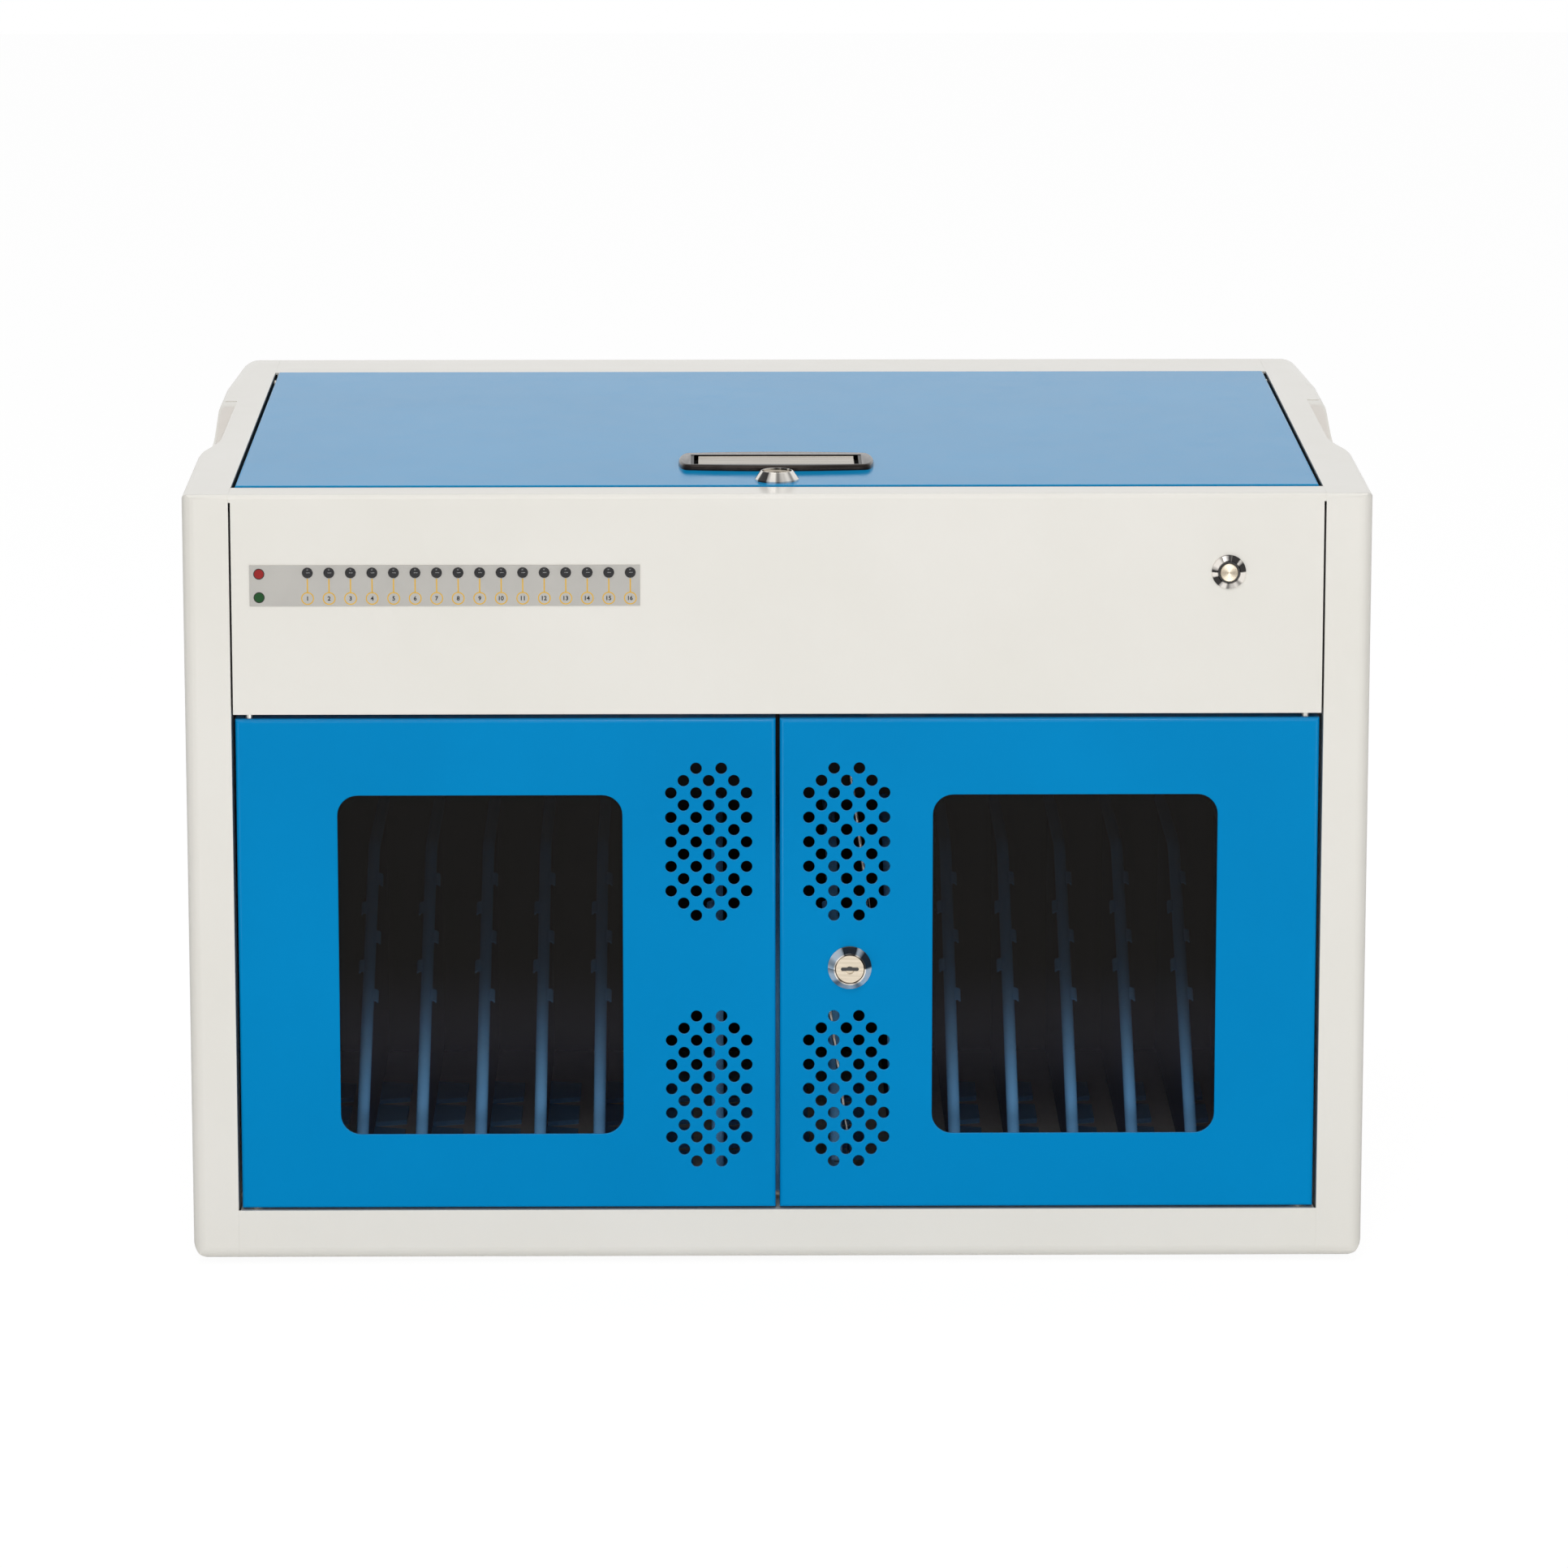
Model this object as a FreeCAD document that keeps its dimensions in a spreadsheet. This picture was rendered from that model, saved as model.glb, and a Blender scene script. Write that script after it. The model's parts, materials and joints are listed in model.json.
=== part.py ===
import FreeCAD, Part
import math
import os

# Device charging cabinet: a sheet-steel body with two windowed doors, a lockable lid over the charger bay
# and a rack of plastic dividers. X runs to the right, the front faces -Y, Z is up, the feet stand on Z = 0.

SIZES = {
    # Body of the cabinet
    "cabinet_width": 610, "cabinet_depth": 472, "body_height": 404.5, "sheet_gauge": 1.2,
    "corner_radius": 10, "upright_radius": 7, "top_edge_radius": 3, "post_width": 24, "rail_height": 26.6,
    "fascia_height": 114.4, "slit_width": 1.1, "slit_start": 4, "jamb_depth": 20, "rim_drop": 14,
    "lintel_depth": 20.8,
    # Feet
    "foot_height": 3, "foot_radius": 12, "foot_inset": 45,
    # Doors; heights are measured from the middle of the door
    "door_side_gap": 2, "door_centre_gap": 2.1, "door_top_gap": 2.4, "door_bottom_gap": 1.3, "door_fold": 15,
    "door_edge_radius": 2, "window_width": 147, "window_height": 180, "window_radius": 10.5,
    "window_offset": 153.6, "window_drop": 0.3, "pane_thickness": 2.5, "pane_lap": 10,
    "vent_offset": 35.6, "vent_upper_rise": 64.9, "vent_lower_drop": 66.3, "vent_radius": 3,
    "vent_column_step": 6.5, "vent_row_step": 6.47,
    # Pivots
    "pin_radius": 2, "pin_clearance": 0.05, "pivot_inset": 7, "pivot_setback": 5, "pin_reach": 6,
    "pin_shank_radius": 2, "pin_head_radius": 3.6, "pin_head": 2, "shoulder_gap": 0.3,
    # Door catches
    "catch_length": 30, "catch_height": 9, "catch_thickness": 8, "catch_offset": 45,
    # Lid
    "lid_setback": 25, "lid_back_setback": 53, "lid_gap": 2, "lid_fold": 12, "lid_proud": 0.6,
    "lid_edge_radius": 1, "rail_ledge": 13, "rail_gap": 0.4, "rail_leg": 22,
    # Lid handle
    "handle_setback": 68, "handle_width": 102, "handle_depth": 34, "handle_bulge": 4.5, "handle_radius": 10,
    "handle_proud": 3, "handle_end": 8, "handle_side": 5.2, "handle_wall": 1.6, "cup_depth": 27,
    "flap_gap": 0.4, "flap_thickness": 2, "flap_drop": 0.6, "flap_pivot_radius": 1.5, "flap_pivot_inset": 2.4,
    "flap_pivot_reach": 1.3,
    # Locks
    "lock_bezel_radius": 11.3, "lock_face_radius": 9.4, "lock_proud": 5, "lock_skirt": 1,
    "lock_barrel_radius": 9.2, "door_barrel_length": 22, "lid_barrel_length": 12, "lock_plug_radius": 7.5,
    "lock_face_recess": 0.8, "keyway_length": 9.2, "keyway_width": 1.6, "keyway_depth": 5,
    "lock_nut_radius": 12.5, "lock_nut_thickness": 4, "door_lock_offset": 37.3, "door_lock_drop": 1.7,
    "lid_lock_setback": 16.5,
    # Door lock cam and rods
    "cam_radius": 14, "cam_plate": 2, "cam_edge": 5, "cam_width": 9, "cam_pin_radius": 2.2,
    "cam_pin_length": 4.2, "rod_width": 7, "rod_thickness": 2, "rod_gap": 0.8, "rod_slack": 0.7,
    "rod_end_gap": 3, "rod_end_offset": 0.5, "guide_height": 7, "guide_wall": 2.5, "guide_distance": 11,
    "guide_slack": 1.4,
    # Lid lock cam
    "lid_cam_reach": 27, "lid_cam_width": 13, "lid_cam_gap": 1.5,
    # Side grips
    "grip_centre": -21, "grip_length": 192, "grip_thickness": 21, "grip_height": 54, "grip_end_wall": 8,
    "scoop_inset": 10, "scoop_drop": 13, "scoop_front": 54, "scoop_back_step": 0.8, "scoop_bend_radius": 90,
    "pocket_depth": 19, "pocket_length": 132, "pocket_height": 24, "pocket_corner": 7, "pocket_rise": 4,
    # Rack
    "rack_setback": 31, "rack_depth": 309, "rack_sheet": 1.5, "rack_back_gap": 26, "rack_side_gap": 1,
    "shelf_setback": 32, "shelf_lip": 12, "cable_slot_length": 110, "cable_slot_width": 34,
    "cable_slot_setback": 120,
    # Dividers
    "divider_pitch": 31.2, "divider_web": 2.4, "divider_bead": 6.5, "divider_setback": 1.5,
    "divider_front_height": 19, "divider_top_height": 149, "divider_slope_length": 183,
    "hook_first": 60, "hook_step": 36, "hook_length": 10, "hook_reach": 4.2, "hook_rise": 5, "hook_wall": 1.6,
    "clip_length": 34, "clip_taper": 6, "clip_reach": 11, "clip_thickness": 3, "clip_first": 34,
    # Legend strip and status lamps
    "strip_inset": 34.5, "strip_length": 200, "strip_height": 21.2, "strip_drop": 47,
    "strip_thickness": 0.6, "lamp_inset": 64.2, "lamp_pitch": 11.02, "lamp_drop": 40.3, "lamp_radius": 2.8,
    "lamp_proud": 1.6, "lamp_gap": 0.4, "board_standoff": 5, "board_thickness": 1.6, "board_height": 16,
    "board_end": 16.5, "board_post_radius": 3,
    # Power switch
    "switch_inset": 73.7, "switch_drop": 40.6, "switch_bezel_radius": 8.8, "switch_proud": 2.6,
    "switch_barrel_radius": 7.4, "switch_barrel_length": 22, "switch_nut_radius": 10.5,
    "switch_nut_thickness": 3, "button_radius": 4.7, "button_proud": 0.9, "button_length": 9,
    "button_travel": 2,
    # Charger bay
    "hub_width": 440, "hub_depth": 60, "hub_height": 34, "hub_setback": 215, "port_width": 13,
    "port_height": 6, "port_depth": 11, "module_width": 190, "module_depth": 72, "module_height": 46,
    "module_offset": 120, "module_back_gap": 12, "module_ear": 12, "module_ear_thickness": 2,
    # Mains inlet and rear vent panel
    "inlet_inset": 90, "inlet_drop": 62.5, "inlet_width": 50, "inlet_flange_height": 24, "inlet_proud": 2.6,
    "inlet_body_width": 30, "inlet_body_height": 20, "inlet_body_depth": 24, "inlet_wall": 3,
    "inlet_blade_width": 4, "inlet_blade_thickness": 2, "inlet_blade_length": 16, "inlet_blade_step": 7,
    "vent_panel_width": 240, "vent_panel_height": 64, "vent_panel_drop": 62.5, "vent_panel_lap": 10,
    "vent_slot_count": 9, "vent_slot_width": 6, "vent_slot_step": 22, "vent_slot_margin": 14,
    # Room that cutting tools take beyond a face
    "overcut": 5,
}
PORT_COUNT = 16
DIVIDER_COUNT = PORT_COUNT + 1
VENT_ROWS = (2, 3, 4, 3, 4, 3, 4, 3, 4, 3, 4, 3, 2)
VENT_SIDES = 4
LAMP_SIDES = 6
PIN_SIDES = 12
FOOT_SIDES = 12
BARREL_SIDES = 8
BEZEL_SIDES = 20
HOOK_COUNT = 4

doc = FreeCAD.newDocument("charging_cabinet")
sheet = doc.addObject("Spreadsheet::Sheet", "Sizes")
for row, (alias, number) in enumerate(SIZES.items(), start=1):
    sheet.set(f"A{row}", alias)
    sheet.set(f"B{row}", str(number))
    sheet.setAlias(f"B{row}", alias)
doc.recompute()
pieces = {}


class Size:
    """A length that carries its formula on the sheet beside its present value."""

    def __init__(self, text, number):
        self.text = text
        self.number = number

    def join(self, other, sign, number):
        return Size(f"({self.text} {sign} {text_of(other)})", number)

    def __add__(self, other):
        return self.join(other, "+", self.number + number_of(other))

    def __radd__(self, other):
        return self + other

    def __sub__(self, other):
        return self.join(other, "-", self.number - number_of(other))

    def __rsub__(self, other):
        return -self + other

    def __mul__(self, other):
        return self.join(other, "*", self.number * number_of(other))

    def __rmul__(self, other):
        return self * other

    def __truediv__(self, other):
        return self.join(other, "/", self.number / number_of(other))

    def __neg__(self):
        return Size(f"(0 - {self.text})", -self.number)


def text_of(size):
    return size.text if isinstance(size, Size) else f"{size}"


def number_of(size):
    return size.number if isinstance(size, Size) else size


class Sheet:
    """Reads a named size from the spreadsheet."""

    def __getattr__(self, alias):
        return Size(f"Sizes.{alias}", float(sheet.get(alias)))


s = Sheet()


def bind(item, formulas):
    for path, size in formulas.items():
        item.setExpression(path, text_of(size))


def box(name, x, y, z):
    """A block between two limits along each axis."""
    item = doc.addObject("Part::Box", name)
    bind(item, {"Length": x[1] - x[0], "Width": y[1] - y[0], "Height": z[1] - z[0],
                "Placement.Base.x": x[0], "Placement.Base.y": y[0], "Placement.Base.z": z[0]})
    return item


TURNS = {"X": FreeCAD.Rotation(FreeCAD.Vector(0, 1, 0), 90),
         "Y": FreeCAD.Rotation(FreeCAD.Vector(1, 0, 0), -90),
         "Z": FreeCAD.Rotation()}


def place_round(item, axis, across, start):
    """Stands a round primitive on its axis; across holds the other two coordinates in X, Y, Z order."""
    item.Placement = FreeCAD.Placement(FreeCAD.Vector(), TURNS[axis])
    spots = {"X": (start, *across), "Y": (across[0], start, across[1]), "Z": (*across, start)}[axis]
    bind(item, {"Placement.Base.x": spots[0], "Placement.Base.y": spots[1], "Placement.Base.z": spots[2]})
    return item


def rod(name, axis, radius, across, span):
    item = doc.addObject("Part::Cylinder", name)
    bind(item, {"Radius": radius, "Height": span[1] - span[0]})
    return place_round(item, axis, across, span[0])


def ramp(name, x, y, low, high):
    """A block under a level top, whose bottom runs from one height at its front to another at its back."""
    item = doc.addObject("Part::Wedge", name)
    bind(item, {"Xmin": x[0], "Xmax": x[1], "X2min": x[0], "X2max": x[1], "Ymin": y[0], "Ymax": y[1],
                "Zmin": low[0], "Zmax": high, "Z2min": low[1], "Z2max": high})
    return item


def prism(name, axis, sides, radius, across, span):
    item = doc.addObject("Part::Prism", name)
    item.Polygon = sides
    bind(item, {"Circumradius": radius, "Height": span[1] - span[0]})
    return place_round(item, axis, across, span[0])


def fuse(name, *items):
    item = doc.addObject("Part::MultiFuse", name)
    item.Shapes = list(items)
    item.Refine = True
    return item


def group(name, *items):
    item = doc.addObject("Part::Compound", name)
    item.Links = list(items)
    return item


def cut(name, base, *tools):
    item = doc.addObject("Part::Cut", name)
    item.Base = base
    item.Tool = tools[0] if len(tools) == 1 else group(f"{name}_tools", *tools)
    return item


def common(name, first, second):
    item = doc.addObject("Part::Common", name)
    item.Base = first
    item.Tool = second
    return item


def mirror(name, source):
    """The same piece on the other side of the cabinet."""
    item = doc.addObject("Part::Mirroring", name)
    item.Source = source
    item.Base = (0, 0, 0)
    item.Normal = (1, 0, 0)
    return item


def round_edges(name, base, radius_of):
    """Fillets each edge for which radius_of(middle, direction) gives a radius."""
    doc.recompute()
    edges = []
    for index, edge in enumerate(base.Shape.Edges, start=1):
        middle = edge.valueAt((edge.FirstParameter + edge.LastParameter) / 2)
        direction = (edge.Vertexes[-1].Point - edge.Vertexes[0].Point).normalize()
        radius = radius_of(middle, direction)
        if radius:
            edges.append((index, radius, radius))
    item = doc.addObject("Part::Fillet", name)
    item.Base = base
    item.Edges = edges
    return item


def along(direction, axis):
    return abs(getattr(direction, axis)) > 0.99


def rounded_bar(name, axis, radius, x, y, z):
    """A block whose four edges along one axis are rounded."""
    base = box(f"{name}_block", x, y, z)
    return round_edges(name, base, lambda middle, direction: number_of(radius) * along(direction, axis))


def bevelled_bar(name, axis, size, x, y, z):
    """A block whose four edges along one axis are cut off flat."""
    base = box(f"{name}_block", x, y, z)
    doc.recompute()
    item = doc.addObject("Part::Chamfer", name)
    item.Base = base
    item.Edges = [(index, number_of(size), number_of(size))
                  for index, edge in enumerate(base.Shape.Edges, start=1)
                  if along((edge.Vertexes[-1].Point - edge.Vertexes[0].Point).normalize(), axis)]
    return item


def coned(name, axis, sides, radii, across, span, outward, skirt):
    """A many-sided bezel: a straight skirt, then a cone that narrows to the second radius."""
    base = prism(f"{name}_block", axis, sides, radii[0], across, span)
    doc.recompute()
    end = number_of(span[1] if outward > 0 else span[0])
    lean = (number_of(radii[0] - radii[1]) * math.cos(math.pi / sides), number_of(span[1] - span[0] - skirt))
    item = doc.addObject("Part::Chamfer", name)
    item.Base = base
    item.Edges = [(index, lean[1], lean[0]) for index, edge in enumerate(base.Shape.Edges, start=1)
                  if all(abs(getattr(vertex.Point, axis.lower()) - end) < 0.01 for vertex in edge.Vertexes)]
    return item


def piece(node, item):
    item.Label = node
    pieces[node] = item
    return item


HALF = s.cabinet_width / 2
FRONT = (s.lock_proud - s.inlet_proud - s.cabinet_depth) / 2
BACK = FRONT + s.cabinet_depth
BOTTOM = s.foot_height
TOP = BOTTOM + s.body_height
OPENING = HALF - s.post_width
RAIL = BOTTOM + s.rail_height
APRON = TOP - s.fascia_height
GAUGE = s.sheet_gauge
INSIDE = FRONT + GAUGE
LID_FRONT = FRONT + s.lid_setback
LID_BACK = BACK - s.lid_back_setback
LID_TOP = TOP + s.lid_proud
RIM_FRONT = LID_FRONT - s.lid_gap
RIM_BACK = LID_BACK + s.lid_gap
RIM_LOW = TOP - GAUGE - s.rim_drop
APRON_HALF = OPENING - s.slit_width
DOOR_EDGE = OPENING - s.door_side_gap
DOOR_INNER = s.door_centre_gap / 2
DOOR_LOW = RAIL + s.door_bottom_gap
DOOR_HIGH = APRON - s.door_top_gap
DOOR_PIVOT = DOOR_EDGE - s.pivot_inset
DOOR_PIVOT_DEPTH = FRONT + s.pivot_setback
LID_PIVOT = LID_BACK - s.pivot_inset
LID_PIVOT_HEIGHT = TOP - s.pivot_setback
PIN_HOLE = s.pin_radius + s.pin_clearance
SHANK_HOLE = s.pin_shank_radius + s.pin_clearance
DOOR_MIDDLE = (DOOR_LOW + DOOR_HIGH) / 2
LAMP_HEIGHT = TOP - s.lamp_drop
SWITCH_SPOT = (HALF - s.switch_inset, TOP - s.switch_drop)
INLET_SPOT = (HALF - s.inlet_inset, TOP - s.inlet_drop)
VENT_PANEL_HEIGHT = TOP - s.vent_panel_drop
DOOR_LOCK_SPOT = (s.door_lock_offset, DOOR_MIDDLE - s.door_lock_drop)
RACK_FRONT = FRONT + s.rack_setback
RACK_BACK = RACK_FRONT + s.rack_depth
RACK_TOP = RAIL + s.rack_sheet
RACK_HALF = HALF - GAUGE - s.rack_side_gap
SHELF_TOP = APRON + GAUGE
OVER = s.overcut


def body_block(name, inset):
    """The outer form of the body, rounded along each axis, or the room inside it when inset by the gauge."""
    limits = ((inset - HALF, HALF - inset), (FRONT + inset, BACK - inset), (BOTTOM + inset, TOP - inset))
    roof = number_of(TOP - inset)
    top = number_of(s.top_edge_radius - inset)
    corner = number_of(s.corner_radius - inset)
    upright = s.upright_radius - inset

    def bar(part, axis, low):
        """Rounds the edges along one axis, by one radius under the roof and another at the bottom."""
        return round_edges(f"{name}_{part}", box(f"{name}_{part}_block", *limits),
                           lambda middle, direction: along(direction, axis)
                           * (top if abs(middle.z - roof) < 0.01 else low))

    front = bar("front", "y", corner)
    side = bar("side", "x", number_of(upright))
    plan = rounded_bar(f"{name}_plan", "z", upright, *limits)
    return common(name, common(f"{name}_upright", front, plan), side)


def body_panels():
    outer = body_block("body_outer", Size("0", 0))
    room = body_block("body_room", GAUGE)
    shell = cut("body_shell", outer, room)
    return shell, room


def scoop_punch():
    """The notch of the left grip in the top edge: a slope down from the front and a ramp up to the back."""
    across = (-(HALF + OVER), s.scoop_inset - HALF)
    start = s.grip_centre - s.grip_length / 2
    bottom = start + s.scoop_front
    low = TOP - s.scoop_drop
    high = TOP + OVER
    slope = ramp("scoop_slope", across, (start, bottom), (TOP, low), high)
    rise = ramp("scoop_rise", across, (bottom, start + s.grip_length), (low, TOP - s.scoop_back_step), high)
    depth = number_of(low)
    return round_edges("scoop_punch", fuse("scoop_blank", slope, rise),
                       lambda middle, direction: abs(middle.z - depth) < 0.01
                       and along(direction, "x") and number_of(s.scoop_bend_radius))


def side_panels_and_grips(shell, room):
    """Each side is one folded sheet with post, jamb and rim folds; a moulded grip backs its cut-outs."""
    region = box("left_region", (-(HALF + OVER), -OPENING), (FRONT - OVER, BACK + OVER),
                 (BOTTOM - OVER, TOP + OVER))
    skin = common("left_skin", shell, region)
    fold = (-(OPENING + GAUGE), -OPENING)
    jamb = box("left_jamb", fold, (INSIDE, INSIDE + s.jamb_depth),
               (BOTTOM + s.corner_radius, TOP - s.corner_radius))
    rim = box("left_rim_fold", fold, (RIM_FRONT, BACK - s.corner_radius), (RIM_LOW, TOP - GAUGE))
    folded = fuse("left_folded", skin, jamb, rim)
    scoop = scoop_punch()
    low = TOP - s.grip_height + s.pocket_rise
    middle = s.grip_centre
    pocket = bevelled_bar("grip_pocket", "x", s.pocket_corner, (-(HALF + OVER), s.pocket_depth - HALF),
                          (middle - s.pocket_length / 2, middle + s.pocket_length / 2),
                          (low, low + s.pocket_height))
    pin_hole = prism("left_lid_pin_hole", "X", 4, SHANK_HOLE, (LID_PIVOT, LID_PIVOT_HEIGHT),
                     (-(OPENING + OVER), OVER - OPENING))
    left = cut("left_side", folded, scoop, pocket, pin_hole)
    piece("left_side_panel", left)
    piece("right_side_panel", mirror("right_side", left))
    reach = s.grip_length / 2 + s.grip_end_wall
    block = box("grip_block", (-HALF, s.grip_thickness - HALF), (middle - reach, middle + reach),
                (TOP - s.grip_height, TOP))
    moulding = common("grip_moulding", room, block)
    grip = cut("left_grip_cut", moulding, scoop, pocket)
    piece("left_grip", grip)
    piece("right_grip", mirror("right_grip_cut", grip))


def lamp_offset(index):
    return s.lamp_pitch * index + s.lamp_inset - HALF


def pin_spots():
    return (-DOOR_PIVOT, DOOR_PIVOT)


def front_fascia(shell):
    region = box("fascia_region", (-OPENING, OPENING), (FRONT - OVER, RIM_FRONT), (APRON, TOP + OVER))
    skin = common("fascia_skin", shell, region)
    across = (-APRON_HALF, APRON_HALF)
    lintel = box("fascia_lintel", across, (INSIDE, INSIDE + s.lintel_depth), (APRON, APRON + GAUGE))
    rim = box("fascia_rim_fold", across, (RIM_FRONT - GAUGE, RIM_FRONT), (RIM_LOW, TOP - GAUGE))
    folded = fuse("fascia_folded", skin, lintel, rim)
    deep = (FRONT - OVER, INSIDE + OVER / 2)
    tall = (APRON - OVER, TOP - s.slit_start)
    tools = [box("slit_left", (-(OPENING + OVER), -APRON_HALF), deep, tall),
             box("slit_right", (APRON_HALF, OPENING + OVER), deep, tall)]
    room = s.lamp_pitch / 2
    reach = s.lamp_radius + s.lamp_gap
    tools.append(box("lamp_window", (lamp_offset(0) - room, lamp_offset(PORT_COUNT - 1) + room), deep,
                     (LAMP_HEIGHT - reach, LAMP_HEIGHT + reach)))
    tools.append(prism("switch_hole", "Y", BARREL_SIDES, s.switch_barrel_radius + s.pin_clearance,
                       SWITCH_SPOT, deep))
    for index, spot in enumerate(pin_spots()):
        tools.append(prism(f"upper_pin_hole_{index}", "Z", 4, SHANK_HOLE, (spot, DOOR_PIVOT_DEPTH),
                           (APRON - OVER, APRON + OVER)))
    piece("front_fascia", cut("fascia", folded, *tools))


def base_pan(shell):
    region = box("base_region", (-OPENING, OPENING), (FRONT - OVER, BACK - s.corner_radius),
                 (BOTTOM - OVER, RAIL))
    skin = common("base_skin", shell, region)
    fold = box("base_rail_fold", (-APRON_HALF, APRON_HALF), (INSIDE, INSIDE + s.lintel_depth),
               (RAIL - GAUGE, RAIL))
    folded = fuse("base_folded", skin, fold)
    holes = [prism(f"lower_pin_hole_{index}", "Z", 4, SHANK_HOLE, (spot, DOOR_PIVOT_DEPTH),
                   (RAIL - OVER, RAIL + OVER))
             for index, spot in enumerate(pin_spots())]
    piece("base_pan", cut("base", folded, *holes))


def rear_panel(shell):
    across = (-OPENING, OPENING)
    seam = BACK - s.corner_radius
    upright = box("rear_region", across, (seam, BACK + OVER), (BOTTOM - OVER, TOP + OVER))
    ledge = box("rear_rim_region", across, (RIM_BACK, seam), (TOP - s.corner_radius, TOP + OVER))
    skin = common("rear_skin", shell, fuse("rear_regions", upright, ledge))
    fold = box("rear_rim_fold", (-APRON_HALF, APRON_HALF), (RIM_BACK, RIM_BACK + GAUGE),
               (RIM_LOW, TOP - GAUGE))
    folded = fuse("rear_folded", skin, fold)
    deep = (BACK - OVER, BACK + OVER)
    wide = s.vent_panel_width / 2 - s.vent_panel_lap
    tall = s.vent_panel_height / 2 - s.vent_panel_lap
    window = box("rear_vent_window", (-wide, wide), deep,
                 (VENT_PANEL_HEIGHT - tall, VENT_PANEL_HEIGHT + tall))
    x, z = INLET_SPOT
    half = s.inlet_body_width / 2
    rise = s.inlet_body_height / 2
    body = box("rear_inlet_window", (x - half, x + half), deep, (z - rise, z + rise))
    piece("rear_panel", cut("rear", folded, window, body))


def rear_fittings():
    wide = s.vent_panel_width / 2
    tall = s.vent_panel_height / 2
    middle = VENT_PANEL_HEIGHT
    plate = box("vent_plate", (-wide, wide), (BACK, BACK + GAUGE), (middle - tall, middle + tall))
    slots = []
    count = int(number_of(s.vent_slot_count))
    for index in range(count):
        x = s.vent_slot_step * (index - (count - 1) / 2)
        slots.append(box(f"vent_slot_{index}", (x - s.vent_slot_width / 2, x + s.vent_slot_width / 2),
                         (BACK - OVER, BACK + OVER),
                         (middle - tall + s.vent_slot_margin, middle + tall - s.vent_slot_margin)))
    piece("rear_vent_panel", cut("vent_panel", plate, *slots))

    x, z = INLET_SPOT
    flange = box("inlet_flange", (x - s.inlet_width / 2, x + s.inlet_width / 2), (BACK, BACK + s.inlet_proud),
                 (z - s.inlet_flange_height / 2, z + s.inlet_flange_height / 2))
    half = s.inlet_body_width / 2
    rise = s.inlet_body_height / 2
    wall = s.inlet_wall
    floor = BACK - s.inlet_body_depth + wall
    shell = box("inlet_body", (x - half, x + half), (BACK - s.inlet_body_depth, BACK), (z - rise, z + rise))
    mouth = box("inlet_mouth", (x - half + wall, x + half - wall), (floor, BACK + OVER),
                (z - rise + wall, z + rise - wall))
    socket = cut("inlet_socket", fuse("inlet_case", flange, shell), mouth)
    blades = []
    for index, (step, lift) in enumerate(((-1, -0.3), (0, 0.4), (1, -0.3))):
        bx = x + s.inlet_blade_step * step
        bz = z + s.inlet_blade_width * lift
        blades.append(box(f"inlet_blade_{index}",
                          (bx - s.inlet_blade_thickness / 2, bx + s.inlet_blade_thickness / 2),
                          (floor, floor + s.inlet_blade_length),
                          (bz - s.inlet_blade_width / 2, bz + s.inlet_blade_width / 2)))
    piece("mains_inlet", fuse("inlet", socket, *blades))


def feet():
    spots = [(x * (HALF - s.foot_inset), y) for x in (-1, 1)
             for y in (FRONT + s.foot_inset, BACK - s.foot_inset)]
    pads = [prism(f"foot_{index}", "Z", FOOT_SIDES, s.foot_radius, spot, (Size("0", 0), BOTTOM))
            for index, spot in enumerate(spots)]
    piece("rubber_feet", group("feet", *pads))


def square(name, axis, radius, across, span):
    return prism(name, axis, 4, radius, across, span)


def hinge_pins():
    """Stems for the doors and the lid, on square shanks set in the lintel, the rail and the rim folds."""
    pins = []
    for index, spot in enumerate(pin_spots()):
        across = (spot, DOOR_PIVOT_DEPTH)
        stem = prism(f"upper_pin_{index}", "Z", PIN_SIDES, s.pin_radius, across,
                     (DOOR_HIGH - s.pin_reach, APRON))
        shank = square(f"upper_shank_{index}", "Z", s.pin_shank_radius, across, (APRON, SHELF_TOP))
        cap = square(f"upper_cap_{index}", "Z", s.pin_head_radius, across,
                     (SHELF_TOP, SHELF_TOP + s.pin_head))
        pins.append(fuse(f"upper_door_pin_{index}", stem, shank, cap))
        washer_top = DOOR_LOW - s.shoulder_gap
        rail_low = RAIL - GAUGE
        stem = prism(f"lower_pin_{index}", "Z", PIN_SIDES, s.pin_radius, across,
                     (washer_top, DOOR_LOW + s.pin_reach))
        washer = square(f"lower_washer_{index}", "Z", s.pin_head_radius, across, (RAIL, washer_top))
        shank = square(f"lower_shank_{index}", "Z", s.pin_shank_radius, across, (rail_low, RAIL))
        cap = square(f"lower_cap_{index}", "Z", s.pin_head_radius, across, (rail_low - s.pin_head, rail_low))
        pins.append(fuse(f"lower_door_pin_{index}", stem, washer, shank, cap))
    across = (LID_PIVOT, LID_PIVOT_HEIGHT)
    outer = OPENING + GAUGE
    stem = prism("lid_pin_stem", "X", PIN_SIDES, s.pin_radius, across, (-OPENING, s.pin_reach - DOOR_EDGE))
    shank = square("lid_pin_shank", "X", s.pin_shank_radius, across, (-outer, -OPENING))
    cap = square("lid_pin_cap", "X", s.pin_head_radius, across, (-(outer + s.pin_head), -outer))
    left = fuse("left_lid_pin", stem, shank, cap)
    piece("hinge_pins", group("pins", *pins, left, mirror("right_lid_pin", left)))


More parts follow.
